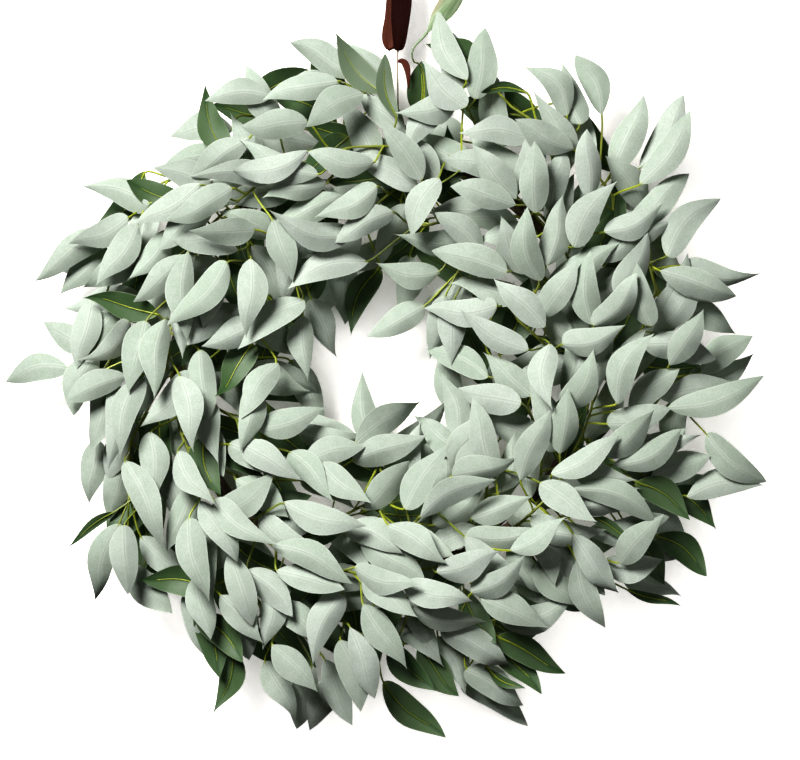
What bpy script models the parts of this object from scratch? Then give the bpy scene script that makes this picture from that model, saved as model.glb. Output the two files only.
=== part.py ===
"""A willow wreath of imitation leaves on a ring, hung from a satin ribbon.

Metres, +Z up. The wreath faces -Y and hangs in the plane y = 0. The origin is the hook seat, the
flat under the top of the ribbon's loop. Every leaf springs from a stem, every stem from the ring,
and all of them sweep the same way round it.
"""
import math
import random

import bmesh
import bpy
from mathutils import Matrix, Vector
from mathutils.bvhtree import BVHTree

MM = 0.001

# Front view: one pixel of it is PIXEL wide at the wreath, and these are places in it
PIXEL = 0.8 * MM
HOOK_AT = (399.0, -46.0)
RING_AT = (382.0, 360.0)

# Ring
RING_RADIUS = 165 * MM
RING_THICK = 7 * MM
RING_STEPS = 60
RING_SIDES = 6

# Outline of the foliage, and how far it stands in front of the ring
OUTER_REACH = 300 * MM
HOLE_RADIUS = 45 * MM
CANOPY_TOP = 62 * MM
CANOPY_EDGE = 12 * MM
BACK_LIMIT = -20 * MM

# Stems: rows of them round the ring, each running forward and off to its own radius
STEM_THICK = 1.3 * MM
STEM_POINTS = 6
BOUND_SHARE = 0.12
SPREAD_SHARE = 0.75
RISE_SHARE = 0.6
SEAT_GAP = 0.3 * MM
FIRST_STEM_AT = math.radians(93)
STEM_ROWS = (
    # name, how many, radius, height, side of the ring where it is bound in degrees, sweep in steps
    ("inner", 13, 112 * MM, 22 * MM, 120.0, 1.55),
    ("middle", 13, 172 * MM, 34 * MM, 60.0, 1.45),
    ("outer", 17, 228 * MM, 20 * MM, 0.0, 1.60),
)

# Leaves: sizes, then how a place is found for each
LEAF_LENGTH = 68 * MM
LEAF_WIDTH = 24 * MM
SLENDER_WIDTH = 9 * MM
LEAF_TAPER = (0.5, 0.7)
MOST_BOW = 0.12
LEAF_THICK = 0.7 * MM
STALK_THICK = 0.85 * MM
CLEARANCE = 0.45 * MM
LEAST_LENGTH = 52 * MM
LEAST_RISE = -14 * MM
MOST_RISE = 18 * MM
STALK_REACH = 66 * MM
STALK_LEAST = 4 * MM
STALK_SPACING = 5 * MM
STALK_FORWARD = 0.15
STALK_TURN_COST = 0.7
SEATS_TRIED = 7
TRIES = 160
LAYER_DEPTH = (0 * MM, 13 * MM, 25 * MM)
COVER_LEAVES = 17
COVER_HEIGHT = (10 * MM, 22 * MM)

# Ribbon: places of each strand in millimetres, from the hook down to the fold at its foot
RIBBON_THICK = 0.8 * MM
RIBBON_TOP = (
    # out from the middle, drop, aside, half width
    (3.2, -0.4, 0.0, 8.0), (6.2, 1.6, 0.0, 8.0), (8.6, 6.0, 0.0, 8.0),
)
FRONT_STRAND = (
    (9.2, 14.0, 0.6, 8.1), (8.4, 26.0, 1.4, 8.2), (7.2, 38.0, 1.9, 8.2), (6.0, 52.0, 1.5, 7.2),
    (4.8, 63.0, 0.7, 6.1), (3.6, 70.0, -0.1, 5.0), (2.2, 74.6, -1.2, 4.0),
)
BACK_STRAND = (
    (9.2, 14.0, -1.0, 8.1), (8.4, 26.0, -1.6, 8.2), (7.2, 38.0, -2.4, 8.1), (6.0, 52.0, -4.6, 7.9),
    (4.8, 63.0, -6.4, 7.2), (3.6, 70.0, -6.8, 5.8), (2.2, 74.6, -6.0, 4.4),
)
RIBBON_FOOT = -76.2 * MM
FOOT_ASIDE = -3.4 * MM
FOOT_HALF_WIDTH = 4.4 * MM
HOLE_DEPTH = 4 * MM

# Ribbon's tail: its middle line in the front view
TAIL_WIDTH = 4.4 * MM
TAIL_SEEN = (
    (397.6, 60.4), (401.4, 59.8), (404.8, 62.0), (407.0, 67.0), (408.2, 75.0), (408.4, 88.0),
    (407.8, 104.0),
)

# Tie wire
WIRE_THICK = 0.55 * MM
WIRE_ASIDE = -1.2 * MM
WIRE_DROP = 20 * MM
WIRE_LEAN_TO = 12 * MM
WIRE_TURNS = 1.3
WIRE_STEPS = 24
WIRE_PLAY = 0.3 * MM
KNOT_SIZE = 1.05 * MM

# Curled top leaf: its stalk in the front view and in millimetres of height, blade to ring
CURLED_STALK = (
    (427, 32, 23), (422, 38, 24), (414.5, 46, 24), (412, 54, 22), (414, 61, 17), (420, 64, 9),
    (424, 76, 2), (424, 100, -4), (420, 130, -5),
)
CURLED_BINDING = (80.5, 83.0)
CURLED_SIDE = math.radians(-60)
CURLED_FOOT = (426, 33, 23)
CURLED_TIP = (474, -38, 15)
CURLED_WIDTH = 18 * MM
CURLED_TAPER = (1.1, 0.8)
CURLED_ROLL = 0.2

# Colours
SAGE = (0.52, 0.60, 0.52)
BARK = (0.10, 0.07, 0.04)
SATIN = (0.10, 0.03, 0.015)
TAN_WIRE = (0.45, 0.33, 0.25)
PALE_GREEN = (0.45, 0.55, 0.36)

# Leaves as they lie in the front view, by layer: foot x, foot y, tip x, tip y, in its pixels
TOP_LAYER = (
    (420, 309, 369, 340), (338, 82, 262, 93), (256, 98, 206, 104), (306, 122, 244, 136),
    (308, 151, 232, 169),
    (356, 98, 308, 128), (369, 162, 311, 145), (422, 180, 376, 119), (377, 186, 313, 212),
    (352, 235, 272, 207), (393, 212, 338, 248), (249, 230, 190, 233), (467, 80, 442, 6),
    (465, 106, 426, 56), (446, 102, 395, 113), (443, 112, 411, 155), (516, 199, 476, 143),
    (499, 175, 441, 164), (515, 206, 452, 182), (535, 213, 539, 142), (570, 147, 519, 114),
    (568, 115, 521, 69), (580, 120, 569, 60), (590, 198, 580, 131), (573, 247, 618, 182),
    (437, 183, 413, 239), (540, 281, 529, 208), (127, 218, 66, 236), (200, 184, 128, 218),
    (232, 188, 172, 228), (138, 224, 90, 280), (227, 262, 163, 320), (146, 321, 127, 392),
    (118, 380, 68, 402), (166, 319, 164, 399), (251, 259, 238, 336), (304, 300, 244, 353),
    (368, 262, 289, 288), (304, 321, 312, 380), (277, 230, 298, 280), (276, 367, 250, 422),
    (507, 272, 431, 253), (484, 256, 434, 214), (545, 327, 490, 284),
    (528, 350, 462, 305), (497, 306, 424, 299), (440, 310, 423, 357), (453, 313, 452, 365),
    (488, 377, 423, 356), (515, 402, 457, 393), (538, 318, 581, 262), (592, 325, 592, 251),
    (593, 326, 633, 272), (565, 343, 623, 321), (550, 350, 552, 409), (571, 394, 592, 350),
    (641, 184, 690, 108), (604, 232, 661, 198), (667, 256, 722, 199), (686, 265, 764, 271),
    (660, 271, 736, 301), (650, 322, 640, 262), (680, 350, 707, 312), (646, 345, 715, 368),
    (617, 404, 653, 334), (668, 408, 765, 372), (117, 383, 102, 469), (142, 376, 127, 460),
    (180, 376, 185, 452), (125, 461, 158, 550), (178, 452, 222, 500), (189, 518, 218, 600),
    (200, 501, 244, 556), (124, 525, 132, 594), (252, 384, 237, 449), (259, 430, 326, 402),
    (243, 445, 300, 484), (333, 405, 312, 463), (355, 443, 423, 404), (326, 467, 374, 500),
    (405, 509, 456, 443), (214, 500, 283, 542), (284, 502, 367, 521), (272, 545, 348, 591),
    (355, 567, 421, 576), (388, 525, 441, 570), (420, 517, 497, 483), (520, 480, 556, 414),
    (560, 452, 568, 389), (551, 474, 615, 430), (602, 457, 652, 408), (612, 466, 679, 427),
    (707, 434, 768, 482), (687, 497, 765, 488), (572, 489, 655, 524), (510, 550, 562, 509),
    (474, 590, 524, 554), (441, 570, 495, 543), (573, 534, 611, 598), (577, 560, 608, 628),
    (404, 586, 473, 594), (480, 597, 548, 629), (363, 604, 413, 664), (362, 582, 413, 622),
    (350, 627, 368, 700), (340, 640, 360, 712), (343, 594, 315, 666), (272, 645, 318, 692),
    (222, 597, 258, 648), (230, 553, 254, 625), (277, 570, 345, 590), (630, 552, 664, 516),
    (612, 562, 663, 557),
)
MIDDLE_LAYER = (
    (356, 79, 295, 34), (270, 105, 253, 62), (325, 184, 262, 190), (250, 220, 222, 206),
    (305, 275, 275, 232), (476, 99, 480, 26), (462, 78, 452, 24), (462, 125, 448, 148),
    (510, 138, 461, 141), (524, 163, 530, 127), (598, 106, 571, 57), (545, 103, 508, 97),
    (555, 197, 572, 150), (148, 205, 78, 190), (118, 232, 41, 291), (150, 218, 142, 261),
    (137, 264, 84, 290), (168, 232, 128, 279), (190, 228, 165, 253), (222, 250, 173, 249),
    (195, 256, 140, 309), (92, 300, 70, 366), (112, 312, 77, 358), (125, 325, 77, 360),
    (95, 358, 74, 416), (65, 368, 5, 388), (200, 350, 212, 420), (225, 272, 208, 330),
    (240, 310, 191, 348), (245, 333, 206, 352), (250, 246, 273, 302), (400, 216, 370, 257),
    (312, 302, 332, 360), (350, 238, 298, 253), (374, 447, 367, 367), (440, 272, 376, 260),
    (527, 270, 508, 213), (470, 283, 414, 303), (528, 393, 486, 349), (455, 425, 436, 374),
    (548, 281, 614, 234), (587, 393, 621, 325), (613, 170, 652, 97), (640, 168, 679, 90),
    (617, 234, 682, 165), (628, 193, 603, 160), (604, 262, 676, 228), (643, 398, 682, 370),
    (660, 398, 732, 391), (706, 370, 758, 341), (119, 524, 105, 604), (150, 432, 147, 506),
    (192, 488, 164, 550), (198, 575, 220, 637), (212, 424, 222, 464), (229, 444, 298, 484),
    (352, 461, 429, 442), (300, 466, 366, 449), (373, 509, 412, 465), (252, 490, 288, 518),
    (258, 516, 324, 551), (325, 530, 363, 583), (358, 535, 400, 560), (397, 526, 456, 553),
    (300, 468, 326, 506), (455, 440, 421, 409), (472, 518, 532, 495), (463, 487, 494, 428),
    (638, 414, 669, 404), (664, 474, 711, 456), (678, 486, 740, 474), (593, 501, 637, 481),
    (538, 480, 590, 524), (577, 470, 636, 480), (552, 541, 562, 583), (542, 567, 585, 604),
    (441, 631, 506, 672), (466, 670, 518, 715), (325, 660, 348, 728), (264, 662, 303, 719),
    (280, 613, 320, 646), (268, 605, 257, 648), (252, 577, 291, 616), (187, 600, 196, 656),
)
LOW_LAYER = (
    (225, 130, 170, 142), (243, 155, 225, 115), (302, 92, 275, 98), (388, 122, 352, 97),
    (475, 216, 430, 215), (560, 235, 577, 175), (592, 140, 603, 158), (187, 182, 150, 169),
    (222, 160, 165, 167), (105, 245, 56, 292), (100, 262, 52, 268), (75, 335, 43, 319),
    (190, 302, 184, 358), (355, 205, 322, 193), (402, 214, 385, 180), (305, 252, 302, 285),
    (283, 253, 279, 300), (350, 284, 354, 323), (405, 270, 391, 318), (262, 362, 321, 386),
    (262, 375, 306, 398), (503, 240, 473, 243), (495, 225, 455, 222), (520, 268, 492, 255),
    (538, 370, 508, 374), (529, 355, 502, 363), (602, 292, 634, 272), (690, 308, 736, 337),
    (690, 378, 756, 352), (662, 322, 686, 316), (96, 445, 83, 503), (122, 434, 102, 478),
    (118, 470, 104, 522), (200, 432, 216, 480), (316, 486, 353, 513), (208, 540, 219, 598),
    (466, 455, 491, 420), (500, 492, 508, 428), (524, 434, 484, 418), (645, 450, 685, 424),
    (530, 563, 546, 590), (512, 572, 566, 608), (556, 598, 588, 616), (427, 600, 434, 650),
    (410, 632, 440, 671), (443, 650, 462, 697), (462, 685, 526, 732), (310, 685, 304, 731),
    (335, 695, 309, 733), (240, 615, 240, 662), (140, 575, 176, 608), (144, 540, 190, 578),
    (605, 548, 640, 534), (622, 570, 686, 589), (655, 520, 686, 547), (660, 545, 701, 549),
)
# The same for leaves that show their underside
TURNED_LEAVES = (
    (383, 94, 337, 32), (397, 112, 389, 54), (228, 156, 207, 83), (165, 192, 128, 178),
    (158, 314, 87, 288), (251, 346, 223, 402), (603, 499, 684, 482), (655, 536, 705, 578),
    (640, 558, 661, 588), (497, 637, 561, 681), (490, 635, 547, 688), (467, 595, 500, 640),
    (396, 652, 437, 690), (428, 662, 452, 702), (383, 683, 450, 731), (195, 612, 214, 680),
    (204, 624, 240, 665), (232, 648, 209, 712), (189, 587, 140, 587), (451, 60, 424, 47),
    (676, 498, 715, 531), (662, 503, 686, 521), (372, 640, 377, 695), (207, 440, 222, 495),
    (380, 268, 352, 336), (553, 82, 560, 118),
)
# The same for slender leaves, or ones that are seen from the side
SLENDER_LEAVES = (
    (114, 512, 71, 548), (487, 668, 527, 686), (627, 590, 682, 600), (528, 93, 480, 96),
    (590, 515, 635, 549),
)


def place(px, py, height=0.0):
    """The point that shows at a place of the front view, a height in front of the ring."""
    return Vector(((px - HOOK_AT[0]) * PIXEL, -height, (HOOK_AT[1] - py) * PIXEL))


RING_CENTRE = place(*RING_AT)


def radius_of(point):
    """How far from the ring's axis a point is."""
    return math.hypot(point.x - RING_CENTRE.x, point.z - RING_CENTRE.z)


def round_ring(angle, radius, height):
    """A point by its angle round the ring, its radius and its height in front of it."""
    return RING_CENTRE + Vector((radius * math.cos(angle), -height, radius * math.sin(angle)))


def canopy(radius):
    """How high the leaves stand in front of the ring, at a radius."""
    outside = radius > RING_RADIUS
    span = OUTER_REACH - RING_RADIUS if outside else RING_RADIUS - HOLE_RADIUS
    share = min(abs(radius - RING_RADIUS) / span, 1.1)
    return CANOPY_EDGE + (CANOPY_TOP - CANOPY_EDGE) * (1 - share * share)


def eased(share):
    """A smooth run from 0 to 1."""
    share = min(max(share, 0.0), 1.0)
    return share * share * (3 - 2 * share)


class Stem:
    """One stem: its path from where it is bound to the ring to its end."""

    def __init__(self, row, number):
        self.row, count, radius, height, side, sweep = row
        self.name = f"{self.row}_spray_{number + 1:02d}"
        step = 2 * math.pi / count
        start = FIRST_STEM_AT + step * number
        hug = RING_THICK + STEM_THICK + SEAT_GAP
        side = math.radians(side)
        self.path = []
        for i in range(STEM_POINTS):
            share = i / (STEM_POINTS - 1)
            away = eased((share - BOUND_SHARE) / SPREAD_SHARE)
            rise = eased((share - BOUND_SHARE) / RISE_SHARE)
            foot_radius = RING_RADIUS + hug * math.cos(side)
            foot_height = hug * math.sin(side)
            r = foot_radius + (radius - foot_radius) * away
            h = foot_height + (height - foot_height) * rise
            self.path.append(round_ring(start + step * sweep * share, r, h))
        self.used = []
        self.leaves = []

    def seats(self):
        """Places along the stem where a stalk may spring from."""
        for a, b in zip(self.path[1:], self.path[2:]):
            steps = max(1, int((b - a).length / STALK_SPACING))
            for i in range(steps):
                yield a.lerp(b, i / steps)
        yield self.path[-1].lerp(self.path[-2], 0.1)


class Leaf:
    """One leaf: a blade from foot to tip, on a stalk that springs from a stem."""

    def __init__(self, foot, tip, roll, rng, width=LEAF_WIDTH):
        self.foot = foot
        self.tip = tip
        self.roll = roll
        self.width = width * rng.uniform(0.9, 1.06)
        lean = rng.uniform(-1, 1)
        self.bow = math.copysign(MOST_BOW * abs(lean) ** 0.6, lean)
        self.arch = rng.uniform(0.02, 0.10)
        self.fold = math.radians(rng.uniform(6, 18))
        self.taper = LEAF_TAPER
        self.seat = None

    def length(self):
        return (self.tip - self.foot).length

    def moved(self, rng, amount):
        """A copy that is lifted, tipped and rolled a little, the more the larger the amount."""
        copy = Leaf.__new__(Leaf)
        copy.__dict__.update(self.__dict__)
        shift = Vector((rng.uniform(-4, 4), rng.uniform(-14, 24), rng.uniform(-4, 4))) * MM * amount
        copy.foot = self.foot + shift + Vector((0, rng.uniform(-8, 8) * MM * amount, 0))
        copy.tip = self.tip + shift + Vector((0, rng.uniform(-12, 12) * MM * amount, 0))
        copy.roll = self.roll + math.radians(rng.uniform(-28, 28)) * amount
        copy.arch = self.arch + rng.uniform(-0.08, 0.06) * amount
        return copy

    def axes(self):
        """The blade's directions along, across, and out of its face."""
        along = (self.tip - self.foot).normalized()
        out = Vector((0, -1, 0))
        out = (out - along * out.dot(along)).normalized()
        out = Matrix.Rotation(self.roll, 3, along) @ out
        return along, along.cross(out), out

    def point(self, share, side):
        """A point of the blade's middle surface: share along it, side from -1 to 1 across it."""
        along, across, out = self.axes()
        length = self.length()
        half = 0.5 * self.width * blade_outline(share, *self.taper)
        swell = math.sin(math.pi * share)
        return (
            self.foot
            + along * (length * share)
            + across * (side * half * math.cos(self.fold) + self.bow * length * swell)
            + out * (self.arch * length * swell - abs(side) * half * math.sin(self.fold))
        )


def blade_outline(share, at_foot, at_tip):
    """A blade's half width along its length, as a share of the most, by how it tapers."""
    widest = at_foot / (at_foot + at_tip)
    most = widest ** at_foot * (1 - widest) ** at_tip
    return share ** at_foot * (1 - share) ** at_tip / most


EDGE_STATIONS = (0.10, 0.40, 0.76)
EDGE_FULLER = 1.05
RIB_STATION = 0.42


def leaf_mesh(leaf, grow=0.0, stalk_from=None):
    """A leaf's corners and faces: a three-sided stalk and a blade folded along its rib."""
    along, across, out = leaf.axes()
    half_thick = 0.5 * LEAF_THICK + grow
    arms = (across * -0.9, across * 0.9, out * -1.1)
    corners = []
    faces = []
    if stalk_from is not None:
        run = (leaf.foot - stalk_from).normalized()
        for arm in arms:
            arm = (arm - run * arm.dot(run)).normalized()
            corners.append(stalk_from + arm * (STALK_THICK + grow))
        faces += [(0, 1, 4, 3), (1, 2, 5, 4), (2, 0, 3, 5)]
    faces.append((0, 2, 1))
    left = len(corners)
    right, under = left + 1, left + 2
    for arm in arms:
        corners.append(leaf.foot + arm.normalized() * (STALK_THICK + grow))
    rims = {}
    for face in (1, -1):
        shift = out * (half_thick * face)
        rim = []
        for side, shares in ((-1, EDGE_STATIONS), (1, EDGE_STATIONS[::-1])):
            for share in shares:
                rim.append(len(corners))
                corners.append(leaf.point(share, side * EDGE_FULLER) + shift + across * (side * grow))
        rims[face] = rim
    rib = len(corners)
    corners.append(leaf.point(RIB_STATION, 0) + out * half_thick)
    low_rib = len(corners)
    corners.append(leaf.point(RIB_STATION, 0) - out * half_thick)
    tip = len(corners)
    corners.append(leaf.tip + along * grow)
    count = len(EDGE_STATIONS)
    upper = [left] + rims[1][:count] + [tip] + rims[1][count:] + [right]
    lower = [under] + rims[-1][:count] + [tip] + rims[-1][count:] + [under]
    faces.append((left, rib, right))
    for i in range(len(upper) - 1):
        faces.append((upper[i], upper[i + 1], rib))
        faces.append((lower[i + 1], lower[i], low_rib))
        wall = (upper[i], lower[i], lower[i + 1], upper[i + 1])
        faces += split_wall(wall)
    return corners, faces


def split_wall(wall):
    """The triangles of a strip of the blade's edge, fewer where two of its corners are one."""
    a, b, c, d = wall
    return [face for face in ((a, b, c), (a, c, d)) if len(set(face)) == 3]


class Space:
    """What is already there, for testing that a new leaf clears it."""

    def __init__(self):
        self.corners = []
        self.faces = []
        self.tree = None

    def add(self, mesh):
        corners, faces = mesh
        first = len(self.corners)
        self.corners += corners
        self.faces += [tuple(first + c for c in face) for face in faces]
        self.tree = BVHTree.FromPolygons(self.corners, self.faces)

    def clear_of(self, tree):
        return self.tree is None or not self.tree.overlap(tree)


def tree_of(mesh):
    return BVHTree.FromPolygons(*mesh)


def listed_leaves():
    """The leaves of the lists above, from the front layer to the back one."""
    lists = (
        # leaves, layer, whether they show their underside, width, first seed
        (TOP_LAYER, 0, False, LEAF_WIDTH, 0),
        (TURNED_LEAVES, 1, True, LEAF_WIDTH, 1500),
        (SLENDER_LEAVES, 1, True, SLENDER_WIDTH, 1700),
        (MIDDLE_LAYER, 1, False, LEAF_WIDTH, 1000),
        (LOW_LAYER, 2, False, LEAF_WIDTH, 2000),
    )
    for table, layer, turned, width, first_seed in lists:
        for i, (foot_x, foot_y, tip_x, tip_y) in enumerate(table):
            rng = random.Random(first_seed + i)
            foot = place(foot_x, foot_y)
            tip = place(tip_x, tip_y)
            if (tip - foot).length < LEAST_LENGTH and width == LEAF_WIDTH:
                foot = tip - (tip - foot).normalized() * LEAST_LENGTH
            depth = LAYER_DEPTH[layer]
            foot_height = canopy(radius_of(foot)) - depth - 10 * MM
            tip_height = canopy(radius_of(tip)) - depth + rng.uniform(-1, 6) * MM
            middle = 0.5 * (foot_height + tip_height)
            rise = min(max(tip_height - foot_height, LEAST_RISE), MOST_RISE)
            foot.y = -max(middle - 0.5 * rise, BACK_LIMIT)
            tip.y = -max(middle + 0.5 * rise, BACK_LIMIT)
            roll = math.radians(rng.gauss(0, 13)) + (math.pi if turned else 0.0)
            yield Leaf(foot, tip, roll, rng, width), rng


def cover_leaves():
    """Leaves that lie close over the ring and hide it."""
    rng = random.Random(7)
    for i in range(COVER_LEAVES):
        angle = 2 * math.pi * i / COVER_LEAVES
        foot = round_ring(angle, RING_RADIUS + rng.uniform(-14, 14) * MM, rng.uniform(*COVER_HEIGHT))
        lean = angle + math.pi / 2 + rng.gauss(0.0, 0.2)
        length = LEAF_LENGTH * rng.uniform(0.92, 1.08)
        rise = rng.uniform(-3, 6) * MM
        tip = foot + Vector((math.cos(lean) * length, -rise, math.sin(lean) * length))
        yield Leaf(foot, tip, math.radians(rng.gauss(0, 12)), rng), rng


def seats_near(leaf, stems):
    """Free places on the stems that the leaf's stalk could spring from, the best first."""
    along = leaf.axes()[0]
    found = []
    for stem in stems:
        for seat in stem.seats():
            run = leaf.foot - seat
            reach = run.length
            if not STALK_LEAST < reach < STALK_REACH:
                continue
            if run.dot(along) < STALK_FORWARD * reach:
                continue
            if any((seat - used).length < STALK_SPACING * 0.8 for used in stem.used):
                continue
            turn = 1 - run.normalized().dot(along)
            found.append((reach * (1 + STALK_TURN_COST * turn), len(found), stem, seat))
    found.sort(key=lambda entry: entry[:2])
    return found[:SEATS_TRIED]


def settle(leaf, rng, stems, space, stem_trees):
    """Finds a lie for the leaf, near the one it is given, that clears everything there."""
    for attempt in range(TRIES):
        trial = leaf.moved(rng, attempt / TRIES) if attempt else leaf
        if max(trial.foot.y, trial.tip.y) > -BACK_LIMIT:
            continue
        blade = tree_of(leaf_mesh(trial, CLEARANCE))
        if not space.clear_of(blade):
            continue
        if any(tree.overlap(blade) for tree in stem_trees.values()):
            continue
        for _, _, stem, seat in seats_near(trial, stems):
            start = seat + (trial.foot - seat).normalized() * (STEM_THICK + 0.8 * MM)
            whole = tree_of(leaf_mesh(trial, CLEARANCE, start))
            if not space.clear_of(whole):
                continue
            others = (t for name, t in stem_trees.items() if name != stem.name)
            if any(tree.overlap(whole) for tree in others):
                continue
            trial.seat = seat
            stem.used.append(seat)
            stem.leaves.append(trial)
            space.add(leaf_mesh(trial, 0.0, seat))
            return True
    return False


def fresh_object(name, mesh, home):
    """A new object with a mesh, in a collection."""
    made = bpy.data.objects.new(name, mesh)
    home.objects.link(made)
    return made


def move_to(thing, home):
    """Takes an object out of the collections it is in and puts it in one."""
    for old_home in list(thing.users_collection):
        old_home.objects.unlink(thing)
    home.objects.link(thing)


def mesh_from(corners, faces, name):
    """A closed mesh with all its faces turned outward."""
    body = bmesh.new()
    made = [body.verts.new(corner) for corner in corners]
    for face in faces:
        body.faces.new([made[c] for c in face])
    bmesh.ops.recalc_face_normals(body, faces=body.faces)
    mesh = bpy.data.meshes.new(name)
    body.to_mesh(mesh)
    body.free()
    return mesh


def as_built(thing):
    """The object's mesh as its modifiers or its curve leave it."""
    bpy.context.view_layer.update()
    graph = bpy.context.evaluated_depsgraph_get()
    return bpy.data.meshes.new_from_object(thing.evaluated_get(graph))


def wire(name, path, thick, home, resolution=0):
    """A round wire or stem along a path, closed at both ends."""
    curve = bpy.data.curves.new(name, "CURVE")
    curve.dimensions = "3D"
    curve.bevel_depth = thick
    curve.bevel_resolution = resolution
    curve.use_fill_caps = True
    line = curve.splines.new("POLY")
    line.points.add(len(path) - 1)
    for point, place_of in zip(line.points, path):
        point.co = (*place_of, 1.0)
    guide = fresh_object(name + "_path", curve, home)
    mesh = as_built(guide)
    bpy.data.objects.remove(guide)
    body = bmesh.new()
    body.from_mesh(mesh)
    bmesh.ops.remove_doubles(body, verts=body.verts, dist=1e-6)
    bmesh.ops.recalc_face_normals(body, faces=body.faces)
    body.to_mesh(mesh)
    body.free()
    mesh.shade_smooth()
    return fresh_object(name, mesh, home)


def smooth_path(points, steps):
    """A path through the points by a smooth curve, with so many steps between two of them."""
    path = []
    for i in range(len(points) - 1):
        before = points[max(i - 1, 0)]
        a, b = points[i], points[i + 1]
        after = points[min(i + 2, len(points) - 1)]
        for k in range(steps):
            t = k / steps
            path.append(0.5 * (
                2 * a + (b - before) * t
                + (2 * before - 5 * a + 4 * b - after) * t * t
                + (3 * a - 3 * b + after - before) * t ** 3
            ))
    path.append(points[-1])
    return path


def as_mesh_data(thing):
    """An object's corners and faces in the world, as its modifiers leave it."""
    mesh = as_built(thing)
    corners = [thing.matrix_world @ v.co for v in mesh.vertices]
    faces = [tuple(p.vertices) for p in mesh.polygons]
    bpy.data.meshes.remove(mesh)
    return corners, faces


def base_ring(home):
    """The ring that every spray is bound to."""
    bpy.ops.mesh.primitive_torus_add(
        major_segments=RING_STEPS, minor_segments=RING_SIDES,
        major_radius=RING_RADIUS, minor_radius=RING_THICK,
        location=RING_CENTRE, rotation=(math.pi / 2, 0, 0),
    )
    ring = bpy.context.object
    ring.name = "base_ring"
    ring.data.shade_smooth()
    move_to(ring, home)
    bpy.context.view_layer.update()
    return ring


def band(name, stations, closed, home):
    """A strip of ribbon through stations of middle place and half width, given its thickness."""
    corners = []
    for middle, half in stations:
        corners += [middle - half, middle + half]
    faces = []
    count = len(stations)
    for i in range(count if closed else count - 1):
        a, b = 2 * i, 2 * ((i + 1) % count)
        faces.append((a, a + 1, b + 1, b))
    strip = fresh_object(name, mesh_from(corners, faces, name), home)
    thicken = strip.modifiers.new("thickness", "SOLIDIFY")
    thicken.thickness = RIBBON_THICK
    thicken.offset = 0.0
    thicken.use_even_offset = True
    return strip


def hanger_ribbon(home, cutters):
    """The satin loop: flat over the hook, two strands down, gathered together at the foot."""
    stations = []
    for out, drop, aside, half in RIBBON_TOP + FRONT_STRAND:
        stations.append((Vector((aside, -out, -drop)) * MM, Vector((half, 0, 0)) * MM))
    stations.append((Vector((FOOT_ASIDE, 0, RIBBON_FOOT)), Vector((FOOT_HALF_WIDTH, 0, 0))))
    for out, drop, aside, half in reversed(RIBBON_TOP + BACK_STRAND):
        stations.append((Vector((aside, out, -drop)) * MM, Vector((half, 0, 0)) * MM))
    ribbon = band("hanger_ribbon", stations, True, home)
    bpy.ops.mesh.primitive_cylinder_add(
        vertices=8, radius=WIRE_THICK + WIRE_PLAY, depth=HOLE_DEPTH,
        location=(WIRE_ASIDE, 0, RIBBON_FOOT),
    )
    cutter = bpy.context.object
    cutter.name = "wire_hole"
    cutter.hide_render = True
    cutter.display_type = "WIRE"
    move_to(cutter, cutters)
    hole = ribbon.modifiers.new("wire_hole", "BOOLEAN")
    hole.operation = "DIFFERENCE"
    hole.object = cutter
    return ribbon


def tie_wire(home):
    """The wire that hangs by its knot in the ribbon's foot and is wound round the ring's tube."""
    wound = RING_THICK + WIRE_THICK + SEAT_GAP
    angle = math.acos((WIRE_ASIDE - RING_CENTRE.x) / RING_RADIUS)
    pitch = 3 * WIRE_THICK / RING_RADIUS
    knot_height = RIBBON_FOOT + 0.5 * RIBBON_THICK + KNOT_SIZE + WIRE_PLAY
    knot_at = Vector((WIRE_ASIDE, 0.0, knot_height))
    path = [knot_at, knot_at - Vector((0, 0, WIRE_DROP))]
    path.append(round_ring(angle, RING_RADIUS + WIRE_LEAN_TO, wound))
    for i in range(WIRE_STEPS + 1):
        turns = WIRE_TURNS * i / WIRE_STEPS
        turn = -2 * math.pi * turns
        radius = RING_RADIUS + wound * math.sin(turn)
        path.append(round_ring(angle - pitch * turns, radius, wound * math.cos(turn)))
    bpy.ops.mesh.primitive_ico_sphere_add(subdivisions=1, radius=KNOT_SIZE, location=knot_at)
    knot = bpy.context.object
    lump = as_mesh_data(knot)
    bpy.data.objects.remove(knot)
    return grafted(wire("tie_wire", path, WIRE_THICK, home), [lump])


def ribbon_tail(home):
    """The narrow end of the ribbon that arcs out of the wire and drops into the leaves."""
    forward = WIRE_THICK + 0.5 * RIBBON_THICK + SEAT_GAP
    points = [place(px, py, forward) for px, py in TAIL_SEEN]
    last = len(points) - 1
    stations = []
    for i, point in enumerate(points):
        run = (points[min(i + 1, last)] - points[max(i - 1, 0)]).normalized()
        stations.append((point, run.cross(Vector((0, 1, 0))) * TAIL_WIDTH / 2))
    return band("ribbon_tail", stations, False, home)


def curled_top_leaf(home):
    """A pale leaf above the wreath, on a long curled stalk that is bound to the ring."""
    points = [place(px, py, height * MM) for px, py, height in CURLED_STALK]
    hug = RING_THICK + STALK_THICK + SEAT_GAP
    bound_radius = RING_RADIUS + hug * math.cos(CURLED_SIDE)
    for degrees in CURLED_BINDING:
        points.append(round_ring(math.radians(degrees), bound_radius, hug * math.sin(CURLED_SIDE)))
    path = smooth_path(points, 3)
    stalk = wire("curled_top_leaf", path, STALK_THICK, home)
    foot_x, foot_y, foot_height = CURLED_FOOT
    tip_x, tip_y, tip_height = CURLED_TIP
    foot = place(foot_x, foot_y, foot_height * MM)
    tip = place(tip_x, tip_y, tip_height * MM)
    blade = Leaf(foot, tip, CURLED_ROLL, random.Random(3), CURLED_WIDTH)
    blade.taper = CURLED_TAPER
    return grafted(stalk, [leaf_mesh(blade, 0.0, path[1])])


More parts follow.
